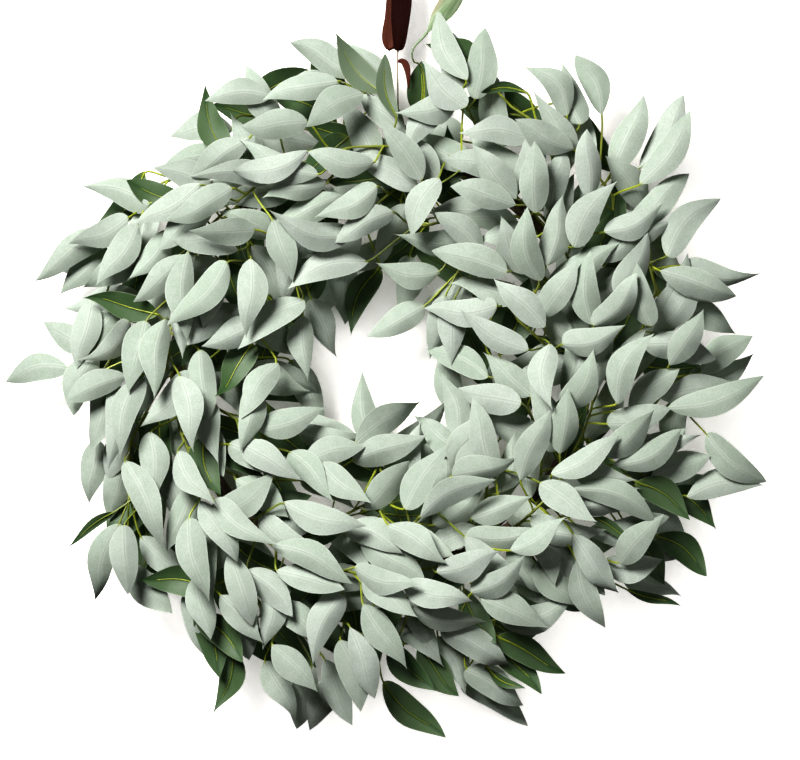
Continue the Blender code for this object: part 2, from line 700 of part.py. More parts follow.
def grown_sprays(obstacles, home):
    """All stems with their leaves, none of which crosses another or what is there already."""
    stems = [Stem(row, number) for row in STEM_ROWS for number in range(row[1])]
    stem_trees = {}
    for stem in stems:
        stem.body = wire(stem.name, stem.path, STEM_THICK, home)
        stem_trees[stem.name] = tree_of(as_mesh_data(stem.body))
    for thing in obstacles:
        stem_trees[thing.name] = tree_of(as_mesh_data(thing))
    space = Space()
    for leaf, rng in [*listed_leaves(), *cover_leaves()]:
        settle(leaf, rng, stems, space, stem_trees)
    return stems


def grafted(body, pieces):
    """The body and the pieces joined as one solid."""
    grafts = bpy.data.collections.new("grafts")
    bpy.context.scene.collection.children.link(grafts)
    for i, (corners, faces) in enumerate(pieces):
        fresh_object(f"graft_{i}", mesh_from(corners, faces, "graft"), grafts)
    union = body.modifiers.new("union", "BOOLEAN")
    union.operation = "UNION"
    union.operand_type = "COLLECTION"
    union.collection = grafts
    union.solver = "EXACT"
    mesh = as_built(body)
    body.modifiers.clear()
    body.data = mesh
    for piece in list(grafts.objects):
        bpy.data.objects.remove(piece)
    bpy.data.collections.remove(grafts)
    return body


def paint(thing, name, colour, roughness, metallic=0.0):
    """Gives an object its own plain material."""
    material = bpy.data.materials.new(name)
    material.use_nodes = True
    shader = material.node_tree.nodes["Principled BSDF"]
    shader.inputs["Base Color"].default_value = (*colour, 1.0)
    shader.inputs["Roughness"].default_value = roughness
    shader.inputs["Metallic"].default_value = metallic
    thing.data.materials.clear()
    thing.data.materials.append(material)


def main():
    for old in list(bpy.data.objects):
        bpy.data.objects.remove(old)
    home = bpy.data.collections.new("willow_wreath")
    bpy.context.scene.collection.children.link(home)
    cutters = bpy.data.collections.new("cutters")
    bpy.context.scene.collection.children.link(cutters)
    ring = base_ring(home)
    ribbon = hanger_ribbon(home, cutters)
    tied = tie_wire(home)
    tail = ribbon_tail(home)
    top_leaf = curled_top_leaf(home)
    for stem in grown_sprays([ring, ribbon, tied, tail, top_leaf], home):
        pieces = [leaf_mesh(leaf, 0.0, leaf.seat) for leaf in stem.leaves]
        paint(grafted(stem.body, pieces), stem.name, SAGE, 0.75)
    paint(ring, "base_ring", BARK, 0.9)
    paint(ribbon, "hanger_ribbon", SATIN, 0.4)
    paint(tail, "ribbon_tail", SATIN, 0.4)
    paint(tied, "tie_wire", TAN_WIRE, 0.7)
    paint(top_leaf, "curled_top_leaf", PALE_GREEN, 0.6)


main()
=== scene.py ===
"""The looks of the willow wreath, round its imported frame.

Metres, +Z up, the wreath faces -Y and hangs by the seat at the origin. The leaves lie where the
frame has them: each is sought among the lies that its own place and seed give, by its tip.
"""
import itertools
import json
import math
import random

import bpy
import numpy as np
from mathutils import Matrix, Vector, kdtree
from mathutils.bvhtree import BVHTree

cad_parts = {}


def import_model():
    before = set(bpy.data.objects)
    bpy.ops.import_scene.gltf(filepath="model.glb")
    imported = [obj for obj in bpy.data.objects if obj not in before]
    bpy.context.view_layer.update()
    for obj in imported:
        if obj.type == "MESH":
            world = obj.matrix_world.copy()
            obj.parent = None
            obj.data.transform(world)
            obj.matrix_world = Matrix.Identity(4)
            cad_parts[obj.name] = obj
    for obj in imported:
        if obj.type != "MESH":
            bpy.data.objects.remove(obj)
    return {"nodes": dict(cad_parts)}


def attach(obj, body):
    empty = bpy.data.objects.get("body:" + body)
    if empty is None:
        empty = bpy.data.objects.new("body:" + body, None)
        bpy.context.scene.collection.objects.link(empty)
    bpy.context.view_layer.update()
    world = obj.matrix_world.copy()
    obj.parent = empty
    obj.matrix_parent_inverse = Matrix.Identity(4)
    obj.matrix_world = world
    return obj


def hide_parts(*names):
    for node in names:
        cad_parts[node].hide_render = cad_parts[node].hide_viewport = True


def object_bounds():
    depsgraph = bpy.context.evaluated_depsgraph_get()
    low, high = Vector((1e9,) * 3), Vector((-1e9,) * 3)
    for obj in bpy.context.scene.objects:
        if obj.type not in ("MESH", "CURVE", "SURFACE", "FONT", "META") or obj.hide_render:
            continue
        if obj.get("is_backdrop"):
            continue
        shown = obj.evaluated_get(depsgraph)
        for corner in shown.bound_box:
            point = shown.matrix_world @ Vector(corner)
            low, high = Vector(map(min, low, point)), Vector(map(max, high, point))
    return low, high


MM = 0.001

# Front view: one pixel of it is PIXEL wide at the wreath, and these are places in it
PIXEL = 0.8 * MM
HOOK_AT = (399.0, -46.0)
RING_AT = (382.0, 360.0)

# Ring
RING_RADIUS = 165 * MM
RING_THICK = 7 * MM

# Outline of the foliage, and how far it stands in front of the ring
OUTER_REACH = 300 * MM
HOLE_RADIUS = 45 * MM
CANOPY_TOP = 62 * MM
CANOPY_EDGE = 12 * MM
BACK_LIMIT = -20 * MM

# Stems: rows of them round the ring, each running forward and off to its own radius
STEM_THICK = 1.3 * MM
STEM_POINTS = 6
BOUND_SHARE = 0.12
SPREAD_SHARE = 0.75
RISE_SHARE = 0.6
SEAT_GAP = 0.3 * MM
FIRST_STEM_AT = math.radians(93)
STEM_ROWS = (
    # name, how many, radius, height, side of the ring where it is bound in degrees, sweep in steps
    ("inner", 13, 112 * MM, 22 * MM, 120.0, 1.55),
    ("middle", 13, 172 * MM, 34 * MM, 60.0, 1.45),
    ("outer", 17, 228 * MM, 20 * MM, 0.0, 1.60),
)

# Leaves: sizes, then how a place is found for each
LEAF_LENGTH = 68 * MM
LEAF_WIDTH = 24 * MM
SLENDER_WIDTH = 9 * MM
LEAF_TAPER = (0.5, 0.7)
MOST_BOW = 0.12
LEAF_THICK = 0.7 * MM
EDGE_STATIONS = (0.10, 0.40, 0.76)
EDGE_FULLER = 1.05
RIB_STATION = 0.42
STALK_THICK = 0.85 * MM
LEAST_LENGTH = 52 * MM
LEAST_RISE = -14 * MM
MOST_RISE = 18 * MM
STALK_REACH = 66 * MM
STALK_LEAST = 4 * MM
STALK_SPACING = 5 * MM
STALK_FORWARD = 0.15
STALK_TURN_COST = 0.7
SEATS_TRIED = 7
TRIES = 160
LAYER_DEPTH = (0 * MM, 13 * MM, 25 * MM)
COVER_LEAVES = 17
COVER_HEIGHT = (10 * MM, 22 * MM)

# Ribbon: places of its loop in millimetres, down its front strand and up its back one
RIBBON_THICK = 0.8 * MM
RIBBON_TOP = (
    # out from the middle, drop, aside, half width
    (3.2, -0.4, 0.0, 8.0), (6.2, 1.6, 0.0, 8.0), (8.6, 6.0, 0.0, 8.0),
)
FRONT_LOBE = (
    (9.2, 14.0, 0.6, 8.1), (8.4, 26.0, 1.4, 8.2), (7.2, 37.0, 2.1, 8.2), (6.4, 49.0, 1.3, 7.7),
    (5.4, 60.0, 0.8, 6.5), (4.2, 68.5, 0.4, 5.4), (3.2, 73.2, 0.0, 4.4), (2.4, 75.6, -0.4, 3.3),
)
LOBE_NECK = ((1.4, 76.3, -0.8, 1.7), (-1.0, 74.0, -3.6, 0.7), (-4.4, 75.6, -7.5, 1.6))
BACK_LOBE = (
    (9.2, 14.0, -1.0, 8.1), (8.4, 26.0, -1.6, 8.2), (7.2, 37.0, -2.3, 8.1), (6.8, 50.0, -3.6, 8.0),
    (6.6, 60.0, -5.6, 7.8), (6.2, 67.0, -6.8, 6.9), (5.8, 71.5, -7.4, 5.2), (5.2, 74.4, -7.6, 3.4),
)
RIBBON_FOOT = -76.2 * MM
BAND_POINTS = 25

# Ribbon's tail: its middle line in the front view
TAIL_WIDTH = 4.4 * MM
TAIL_SEEN = (
    (397.6, 60.4), (401.4, 59.8), (404.8, 62.0), (407.0, 67.0), (408.2, 75.0), (408.4, 88.0),
)

# Tie wire. What has no MM after it is in millimetres or a number of turns or points
WIRE_THICK = 0.55 * MM
WIRE_ASIDE = -1.2 * MM
WIRE_DROP = 20 * MM
WIRE_LEAN_TO = 12 * MM
WIRE_TURNS = 1.3
WIRE_PLAY = 0.3 * MM
WIRE_STEPS = 48
WRAP_STEP = 1.2
KNOT_SIZE = 1.05 * MM
KNOT_POINTS = 40
KNOT_TURNS = 3.2
KNOT_REACH = 0.75
KNOT_TALL = 1.4

# Curled top leaf: its stalk in the front view and in millimetres of height, blade to ring
CURLED_STALK = (
    (427, 32, 23), (422, 38, 24), (414.5, 46, 24), (412, 54, 22), (414, 61, 17), (420, 64, 9),
    (424, 76, 2), (424, 100, -4), (420, 130, -5),
)
CURLED_BINDING = (80.5, 83.0)
CURLED_SIDE = math.radians(-60)
CURLED_FOOT = (426, 33, 23)
CURLED_TIP = (474, -38, 15)
CURLED_WIDTH = 18 * MM
CURLED_TAPER = (1.1, 0.8)
CURLED_ROLL = 0.2

# Leaves as they lie in the front view, by layer: foot x, foot y, tip x, tip y, in its pixels
TOP_LAYER = (
    (420, 309, 369, 340), (338, 82, 262, 93), (256, 98, 206, 104), (306, 122, 244, 136),
    (308, 151, 232, 169), (356, 98, 308, 128), (369, 162, 311, 145), (422, 180, 376, 119),
    (377, 186, 313, 212), (352, 235, 272, 207), (393, 212, 338, 248), (249, 230, 190, 233),
    (467, 80, 442, 6), (465, 106, 426, 56), (446, 102, 395, 113), (443, 112, 411, 155),
    (516, 199, 476, 143), (499, 175, 441, 164), (515, 206, 452, 182), (535, 213, 539, 142),
    (570, 147, 519, 114), (568, 115, 521, 69), (580, 120, 569, 60), (590, 198, 580, 131),
    (573, 247, 618, 182), (437, 183, 413, 239), (540, 281, 529, 208), (127, 218, 66, 236),
    (200, 184, 128, 218), (232, 188, 172, 228), (138, 224, 90, 280), (227, 262, 163, 320),
    (146, 321, 127, 392), (118, 380, 68, 402), (166, 319, 164, 399), (251, 259, 238, 336),
    (304, 300, 244, 353), (368, 262, 289, 288), (304, 321, 312, 380), (277, 230, 298, 280),
    (276, 367, 250, 422), (507, 272, 431, 253), (484, 256, 434, 214), (545, 327, 490, 284),
    (528, 350, 462, 305), (497, 306, 424, 299), (440, 310, 423, 357), (453, 313, 452, 365),
    (488, 377, 423, 356), (515, 402, 457, 393), (538, 318, 581, 262), (592, 325, 592, 251),
    (593, 326, 633, 272), (565, 343, 623, 321), (550, 350, 552, 409), (571, 394, 592, 350),
    (641, 184, 690, 108), (604, 232, 661, 198), (667, 256, 722, 199), (686, 265, 764, 271),
    (660, 271, 736, 301), (650, 322, 640, 262), (680, 350, 707, 312), (646, 345, 715, 368),
    (617, 404, 653, 334), (668, 408, 765, 372), (117, 383, 102, 469), (142, 376, 127, 460),
    (180, 376, 185, 452), (125, 461, 158, 550), (178, 452, 222, 500), (189, 518, 218, 600),
    (200, 501, 244, 556), (124, 525, 132, 594), (252, 384, 237, 449), (259, 430, 326, 402),
    (243, 445, 300, 484), (333, 405, 312, 463), (355, 443, 423, 404), (326, 467, 374, 500),
    (405, 509, 456, 443), (214, 500, 283, 542), (284, 502, 367, 521), (272, 545, 348, 591),
    (355, 567, 421, 576), (388, 525, 441, 570), (420, 517, 497, 483), (520, 480, 556, 414),
    (560, 452, 568, 389), (551, 474, 615, 430), (602, 457, 652, 408), (612, 466, 679, 427),
    (707, 434, 768, 482), (687, 497, 765, 488), (572, 489, 655, 524), (510, 550, 562, 509),
    (474, 590, 524, 554), (441, 570, 495, 543), (573, 534, 611, 598), (577, 560, 608, 628),
    (404, 586, 473, 594), (480, 597, 548, 629), (363, 604, 413, 664), (362, 582, 413, 622),
    (350, 627, 368, 700), (340, 640, 360, 712), (343, 594, 315, 666), (272, 645, 318, 692),
    (222, 597, 258, 648), (230, 553, 254, 625), (277, 570, 345, 590), (630, 552, 664, 516),
    (612, 562, 663, 557),
)
MIDDLE_LAYER = (
    (356, 79, 295, 34), (270, 105, 253, 62), (325, 184, 262, 190), (250, 220, 222, 206),
    (305, 275, 275, 232), (476, 99, 480, 26), (462, 78, 452, 24), (462, 125, 448, 148),
    (510, 138, 461, 141), (524, 163, 530, 127), (598, 106, 571, 57), (545, 103, 508, 97),
    (555, 197, 572, 150), (148, 205, 78, 190), (118, 232, 41, 291), (150, 218, 142, 261),
    (137, 264, 84, 290), (168, 232, 128, 279), (190, 228, 165, 253), (222, 250, 173, 249),
    (195, 256, 140, 309), (92, 300, 70, 366), (112, 312, 77, 358), (125, 325, 77, 360),
    (95, 358, 74, 416), (65, 368, 5, 388), (200, 350, 212, 420), (225, 272, 208, 330),
    (240, 310, 191, 348), (245, 333, 206, 352), (250, 246, 273, 302), (400, 216, 370, 257),
    (312, 302, 332, 360), (350, 238, 298, 253), (374, 447, 367, 367), (440, 272, 376, 260),
    (527, 270, 508, 213), (470, 283, 414, 303), (528, 393, 486, 349), (455, 425, 436, 374),
    (548, 281, 614, 234), (587, 393, 621, 325), (613, 170, 652, 97), (640, 168, 679, 90),
    (617, 234, 682, 165), (628, 193, 603, 160), (604, 262, 676, 228), (643, 398, 682, 370),
    (660, 398, 732, 391), (706, 370, 758, 341), (119, 524, 105, 604), (150, 432, 147, 506),
    (192, 488, 164, 550), (198, 575, 220, 637), (212, 424, 222, 464), (229, 444, 298, 484),
    (352, 461, 429, 442), (300, 466, 366, 449), (373, 509, 412, 465), (252, 490, 288, 518),
    (258, 516, 324, 551), (325, 530, 363, 583), (358, 535, 400, 560), (397, 526, 456, 553),
    (300, 468, 326, 506), (455, 440, 421, 409), (472, 518, 532, 495), (463, 487, 494, 428),
    (638, 414, 669, 404), (664, 474, 711, 456), (678, 486, 740, 474), (593, 501, 637, 481),
    (538, 480, 590, 524), (577, 470, 636, 480), (552, 541, 562, 583), (542, 567, 585, 604),
    (441, 631, 506, 672), (466, 670, 518, 715), (325, 660, 348, 728), (264, 662, 303, 719),
    (280, 613, 320, 646), (268, 605, 257, 648), (252, 577, 291, 616), (187, 600, 196, 656),
)
LOW_LAYER = (
    (225, 130, 170, 142), (243, 155, 225, 115), (302, 92, 275, 98), (388, 122, 352, 97),
    (475, 216, 430, 215), (560, 235, 577, 175), (592, 140, 603, 158), (187, 182, 150, 169),
    (222, 160, 165, 167), (105, 245, 56, 292), (100, 262, 52, 268), (75, 335, 43, 319),
    (190, 302, 184, 358), (355, 205, 322, 193), (402, 214, 385, 180), (305, 252, 302, 285),
    (283, 253, 279, 300), (350, 284, 354, 323), (405, 270, 391, 318), (262, 362, 321, 386),
    (262, 375, 306, 398), (503, 240, 473, 243), (495, 225, 455, 222), (520, 268, 492, 255),
    (538, 370, 508, 374), (529, 355, 502, 363), (602, 292, 634, 272), (690, 308, 736, 337),
    (690, 378, 756, 352), (662, 322, 686, 316), (96, 445, 83, 503), (122, 434, 102, 478),
    (118, 470, 104, 522), (200, 432, 216, 480), (316, 486, 353, 513), (208, 540, 219, 598),
    (466, 455, 491, 420), (500, 492, 508, 428), (524, 434, 484, 418), (645, 450, 685, 424),
    (530, 563, 546, 590), (512, 572, 566, 608), (556, 598, 588, 616), (427, 600, 434, 650),
    (410, 632, 440, 671), (443, 650, 462, 697), (462, 685, 526, 732), (310, 685, 304, 731),
    (335, 695, 309, 733), (240, 615, 240, 662), (140, 575, 176, 608), (144, 540, 190, 578),
    (605, 548, 640, 534), (622, 570, 686, 589), (655, 520, 686, 547), (660, 545, 701, 549),
)

# The same for leaves that show their underside
TURNED_LEAVES = (
    (383, 94, 337, 32), (397, 112, 389, 54), (228, 156, 207, 83), (165, 192, 128, 178),
    (158, 314, 87, 288), (251, 346, 223, 402), (603, 499, 684, 482), (655, 536, 705, 578),
    (640, 558, 661, 588), (497, 637, 561, 681), (490, 635, 547, 688), (467, 595, 500, 640),
    (396, 652, 437, 690), (428, 662, 452, 702), (383, 683, 450, 731), (195, 612, 214, 680),
    (204, 624, 240, 665), (232, 648, 209, 712), (189, 587, 140, 587), (451, 60, 424, 47),
    (676, 498, 715, 531), (662, 503, 686, 521), (372, 640, 377, 695), (207, 440, 222, 495),
    (380, 268, 352, 336), (553, 82, 560, 118),
)

# The same for slender leaves, or ones that are seen from the side
SLENDER_LEAVES = (
    (114, 512, 71, 548), (487, 668, 527, 686), (627, 590, 682, 600), (528, 93, 480, 96),
    (590, 515, 635, 549),
)

# Fine leaves: where they have points along and across, in shares, and how thick they are
STATIONS = (
    0.0, 0.012, 0.045, 0.10, 0.17, 0.25, 0.33, 0.42, 0.51, 0.60, 0.69, 0.77, 0.85, 0.915, 0.965, 1.0,
)
ACROSS = (-1.0, -0.82, -0.52, -0.24, -0.08, 0.0, 0.08, 0.24, 0.52, 0.82, 1.0)
FABRIC_THICK = 0.45 * MM
GROOVE_DEPTH = 0.2 * MM
RIB_ENDS = 0.76
RIB_THICK = (0.85 * MM, 0.25 * MM)
RIB_SUNK = 0.12 * MM
RIB_POINTS = 9
STALK_POINTS = 9
TUBE_SIDES = 5
STEM_SIDES = 8
STALK_STEP = 5.0
STEM_TINT = 0.2
FOUND_WITHIN = 0.05 * MM
BOW_GAIN = 1.25
FINE_WIDTH = 1.04

# Fine leaves: the ranges that each one's own shape is drawn from
FOOT_TAPER = (1.0, 1.8)
TIP_TAPER = (1.15, 2.2)
UNEVEN = (-0.09, 0.09)
HOOK = (0.0, 0.14)
DROOP = (-0.09, 0.02)
TWIST = (-0.6, 0.6)
CURLED_SHARE = 0.16
CURL = (0.6, 1.25)
CUP = (-0.05, 0.16)
WAVES = (0.7, 1.6)
WAVE_HEIGHT = (0.03, 0.12)
CLOTH_SHIFT = 0.31

# Vine of the ring: how often each strand turns round the others, and its length in its material
VINE_TURNS = (8, 9, 8, 9, 8, 5)
VINE_POINTS = 240
VINE_LENGTH = 1000

# Filling leaves: they close the gaps that the frame's leaves leave, from below
GRID_STEP = 2
FRONT_SIZE = (800, 760)
FILLED_REACH = 255 * MM
DENSE_BAND = (62 * MM, 245 * MM)
GAP_REACH = 5
DENSE_GAP_REACH = 11
CROWD_REACH = 4
LEAST_CROWD = 5
TRIED_REACH = 3
LEAST_INSIDE = 0.93
LEAST_FRESH = 0.12
KEPT_CLEAR = ((377, 367, 60, 52), (385, 295, 12, 27), (404, 70, 10, 20))
GAP_TRIES = 60
MOST_FILLING = 280
FILLING_TURNED = 0.42
FILLING_CLEARANCE = 0.3 * MM
FILLING_DEPTH = ((44, 12), (54, 30))  # in mm under the canopy, for a leaf and for a turned one
FILLING_FLOOR = -14 * MM
OUTSIDE_LEAN = 35
INSIDE_LEAN = -15
LEAN_SPREAD = 32

# Leaves bent far aside: where the tip, the foot and the middle of the bend show in the front view
ARCHED = (
    ((522, 70), (567, 115), (556, 81)), ((568, 61), (600, 113), (595, 79)),
    ((8, 385), (66, 368), (34, 367)), ((98, 599), (118, 524), (100, 559)),
    ((763, 374), (669, 406), (719, 401)),
)
NAMED_WITHIN = 24
MOST_ARCHED = 0.26

# How much of each leaf's roll out of the front view's plane is kept
ROLL_KEPT = 0.7

# Turned leaves with a paler, greyer underside: the tip, the foot, and the share of width kept
GREY_BACKED = (((337, 32), (383, 94), 1.0), ((389, 54), (397, 112), 0.6))

# Leaves that close dark places near the ribbon: foot, tip, height in mm, and whether turned
EXTRA_LEAVES = (
    ((419, 113), (417, 60), -6, True), ((500, 112), (452, 98), 0, True),
    ((462, 140), (425, 120), 0, False),
)

# Tendril of the curled top leaf: its sides, and how many of its rings are of the leaf's film
TENDRIL_SIDES = 8
PALE_TENDRIL = 22

# Leaves' colours: two tones that mix from leaf to leaf and in clouds, then specks, then grain
LEAF_TONES = {
    "leaf_face": (
        (0.370, 0.448, 0.358), (0.560, 0.606, 0.562), (0.33, 0.410, 0.315), (0.65, 0.685, 0.648),
    ),
    "leaf_back": (
        (0.045, 0.105, 0.030), (0.100, 0.150, 0.072), (0.060, 0.14, 0.035), (0.13, 0.20, 0.10),
    ),
}
BLADE_MM = 68.0

# Stage: the wall and the room, and how the wall is shaded where little of it is open to view
WALL_AT = 30 * MM
STAGE_HEIGHT = -0.3
ROOM_RADIUS = 22.0
CAMERA_AWAY = 10.0
WALL_SHADE = (0.36, 0.62)
WALL_GLOW = 0.95
SHADE_REACH = 0.08
ROOM_LIGHT = 0.012
PRINT_GAMMA = 0.79


def place(px, py, height=0.0):
    """The point that shows at a place of the front view, a height in front of the ring."""
    return Vector(((px - HOOK_AT[0]) * PIXEL, -height, (HOOK_AT[1] - py) * PIXEL))


def place_mm(px, py, height):
    """The same with the height in millimetres."""
    return place(px, py, height * MM)


RING_CENTRE = place(*RING_AT)


def radius_of(point):
    """How far from the ring's axis a point is."""
    return math.hypot(point.x - RING_CENTRE.x, point.z - RING_CENTRE.z)


def round_ring(angle, radius, height):
    """A point by its angle round the ring, its radius and its height in front of it."""
    return RING_CENTRE + Vector((radius * math.cos(angle), -height, radius * math.sin(angle)))


def canopy(radius):
    """How high the leaves stand in front of the ring, at a radius."""
    outside = radius > RING_RADIUS
    span = OUTER_REACH - RING_RADIUS if outside else RING_RADIUS - HOLE_RADIUS
    share = min(abs(radius - RING_RADIUS) / span, 1.1)
    return CANOPY_EDGE + (CANOPY_TOP - CANOPY_EDGE) * (1 - share * share)


def eased(share):
    """A smooth run from 0 to 1."""
    share = min(max(share, 0.0), 1.0)
    return share * share * (3 - 2 * share)


class Stem:
    """One stem: its path from where it is bound to the ring to its end."""

    def __init__(self, row, number):
        self.row, count, radius, height, side, sweep = row
        self.name = f"{self.row}_spray_{number + 1:02d}"
        step = 2 * math.pi / count
        start = FIRST_STEM_AT + step * number
        hug = RING_THICK + STEM_THICK + SEAT_GAP
        side = math.radians(side)
        self.path = []
        for i in range(STEM_POINTS):
            share = i / (STEM_POINTS - 1)
            away = eased((share - BOUND_SHARE) / SPREAD_SHARE)
            rise = eased((share - BOUND_SHARE) / RISE_SHARE)
            foot_radius = RING_RADIUS + hug * math.cos(side)
            foot_height = hug * math.sin(side)
            r = foot_radius + (radius - foot_radius) * away
            h = foot_height + (height - foot_height) * rise
            self.path.append(round_ring(start + step * sweep * share, r, h))
        self.used = []
        self.leaves = []

    def seats(self):
        """Places along the stem where a stalk may spring from."""
        for a, b in zip(self.path[1:], self.path[2:]):
            steps = max(1, int((b - a).length / STALK_SPACING))
            for i in range(steps):
                yield a.lerp(b, i / steps)
        yield self.path[-1].lerp(self.path[-2], 0.1)


class Leaf:
    """One leaf: a blade from foot to tip, on a stalk that springs from a stem."""

    def __init__(self, foot, tip, roll, rng, width=LEAF_WIDTH):
        self.foot = foot
        self.tip = tip
        self.roll = roll
        self.width = width * rng.uniform(0.9, 1.06)
        lean = rng.uniform(-1, 1)
        self.bow = math.copysign(MOST_BOW * abs(lean) ** 0.6, lean)
        self.arch = rng.uniform(0.02, 0.10)
        self.fold = math.radians(rng.uniform(6, 18))
        self.taper = LEAF_TAPER
        self.seat = None

    def length(self):
        return (self.tip - self.foot).length

    def moved(self, rng, amount):
        """A copy that is lifted, tipped and rolled a little, the more the larger the amount."""
        copy = Leaf.__new__(Leaf)
        copy.__dict__.update(self.__dict__)
        shift = Vector((rng.uniform(-4, 4), rng.uniform(-14, 24), rng.uniform(-4, 4))) * MM * amount
        copy.foot = self.foot + shift + Vector((0, rng.uniform(-8, 8) * MM * amount, 0))
        copy.tip = self.tip + shift + Vector((0, rng.uniform(-12, 12) * MM * amount, 0))
        copy.roll = self.roll + math.radians(rng.uniform(-28, 28)) * amount
        copy.arch = self.arch + rng.uniform(-0.08, 0.06) * amount
        return copy

    def axes(self):
        """The blade's directions along, across, and out of its face."""
        along = (self.tip - self.foot).normalized()
        out = Vector((0, -1, 0))
        out = (out - along * out.dot(along)).normalized()
        out = Matrix.Rotation(self.roll, 3, along) @ out
        return along, along.cross(out), out

    def point(self, share, side):
        """A point of the blade's middle surface: share along it, side from -1 to 1 across it."""
        along, across, out = self.axes()
        length = self.length()
        half = 0.5 * self.width * blade_outline(share, *self.taper)
        swell = math.sin(math.pi * share)
        return (
            self.foot
            + along * (length * share)
            + across * (side * half * math.cos(self.fold) + self.bow * length * swell)
            + out * (self.arch * length * swell - abs(side) * half * math.sin(self.fold))
        )


def blade_outline(share, at_foot, at_tip):
    """A blade's half width along its length, as a share of the most, by how it tapers."""
    widest = at_foot / (at_foot + at_tip)
    most = widest ** at_foot * (1 - widest) ** at_tip
    return share ** at_foot * (1 - share) ** at_tip / most


def leaf_mesh(leaf, grow=0.0, stalk_from=None):
    """A leaf's corners and faces: a three-sided stalk and a blade folded along its rib."""
    along, across, out = leaf.axes()
    half_thick = 0.5 * LEAF_THICK + grow
    arms = (across * -0.9, across * 0.9, out * -1.1)
    corners = []
    faces = []
    if stalk_from is not None:
        run = (leaf.foot - stalk_from).normalized()
        for arm in arms:
            arm = (arm - run * arm.dot(run)).normalized()
            corners.append(stalk_from + arm * (STALK_THICK + grow))
        faces += [(0, 1, 4, 3), (1, 2, 5, 4), (2, 0, 3, 5)]
    faces.append((0, 2, 1))
    left = len(corners)
    right, under = left + 1, left + 2
    for arm in arms:
        corners.append(leaf.foot + arm.normalized() * (STALK_THICK + grow))
    rims = {}
    for face in (1, -1):
        shift = out * (half_thick * face)
        rim = []
        for side, shares in ((-1, EDGE_STATIONS), (1, EDGE_STATIONS[::-1])):
            for share in shares:
                rim.append(len(corners))
                corners.append(leaf.point(share, side * EDGE_FULLER) + shift + across * (side * grow))
        rims[face] = rim
    rib = len(corners)
    corners.append(leaf.point(RIB_STATION, 0) + out * half_thick)
    low_rib = len(corners)
    corners.append(leaf.point(RIB_STATION, 0) - out * half_thick)
    tip = len(corners)
    corners.append(leaf.tip + along * grow)
    count = len(EDGE_STATIONS)
    upper = [left] + rims[1][:count] + [tip] + rims[1][count:] + [right]
    lower = [under] + rims[-1][:count] + [tip] + rims[-1][count:] + [under]
    faces.append((left, rib, right))
    for i in range(len(upper) - 1):
        faces.append((upper[i], upper[i + 1], rib))
        faces.append((lower[i + 1], lower[i], low_rib))
        wall = (upper[i], lower[i], lower[i + 1], upper[i + 1])
        faces += split_wall(wall)
    return corners, faces


def split_wall(wall):
    """The triangles of a strip of the blade's edge, fewer where two of its corners are one."""
    a, b, c, d = wall
    return [face for face in ((a, b, c), (a, c, d)) if len(set(face)) == 3]


def tree_of(mesh):
    """A search tree of a mesh's corners and faces."""
    return BVHTree.FromPolygons(*mesh)


def listed_leaves():
    """The leaves of the lists above, from the front layer to the back one."""
    lists = (
        # leaves, layer, whether they show their underside, width, first seed
        (TOP_LAYER, 0, False, LEAF_WIDTH, 0),
        (TURNED_LEAVES, 1, True, LEAF_WIDTH, 1500),
        (SLENDER_LEAVES, 1, True, SLENDER_WIDTH, 1700),
        (MIDDLE_LAYER, 1, False, LEAF_WIDTH, 1000),
        (LOW_LAYER, 2, False, LEAF_WIDTH, 2000),
    )
    for table, layer, turned, width, first_seed in lists:
        for i, (foot_x, foot_y, tip_x, tip_y) in enumerate(table):
            rng = random.Random(first_seed + i)
            foot = place(foot_x, foot_y)
            tip = place(tip_x, tip_y)
            if (tip - foot).length < LEAST_LENGTH and width == LEAF_WIDTH:
                foot = tip - (tip - foot).normalized() * LEAST_LENGTH
            depth = LAYER_DEPTH[layer]
            foot_height = canopy(radius_of(foot)) - depth - 10 * MM
            tip_height = canopy(radius_of(tip)) - depth + rng.uniform(-1, 6) * MM
            middle = 0.5 * (foot_height + tip_height)
            rise = min(max(tip_height - foot_height, LEAST_RISE), MOST_RISE)
            foot.y = -max(middle - 0.5 * rise, BACK_LIMIT)
            tip.y = -max(middle + 0.5 * rise, BACK_LIMIT)
            roll = math.radians(rng.gauss(0, 13)) + (math.pi if turned else 0.0)
            yield Leaf(foot, tip, roll, rng, width), rng


def cover_leaves():
    """Leaves that lie close over the ring and hide it."""
    rng = random.Random(7)
    for i in range(COVER_LEAVES):
        angle = 2 * math.pi * i / COVER_LEAVES
        foot = round_ring(angle, RING_RADIUS + rng.uniform(-14, 14) * MM, rng.uniform(*COVER_HEIGHT))
        lean = angle + math.pi / 2 + rng.gauss(0.0, 0.2)
        length = LEAF_LENGTH * rng.uniform(0.92, 1.08)
        rise = rng.uniform(-3, 6) * MM
        tip = foot + Vector((math.cos(lean) * length, -rise, math.sin(lean) * length))
        yield Leaf(foot, tip, math.radians(rng.gauss(0, 12)), rng), rng


def seats_near(leaf, stems):
    """Free places on the stems that the leaf's stalk could spring from, the best first."""
    along = leaf.axes()[0]
    found = []
    for stem in stems:
        for seat in stem.seats():
            run = leaf.foot - seat
            reach = run.length
            if not STALK_LEAST < reach < STALK_REACH:
                continue
            if run.dot(along) < STALK_FORWARD * reach:
                continue
            if any((seat - used).length < STALK_SPACING * 0.8 for used in stem.used):
                continue
            turn = 1 - run.normalized().dot(along)
            found.append((reach * (1 + STALK_TURN_COST * turn), len(found), stem, seat))
    found.sort(key=lambda entry: entry[:2])
    return found[:SEATS_TRIED]


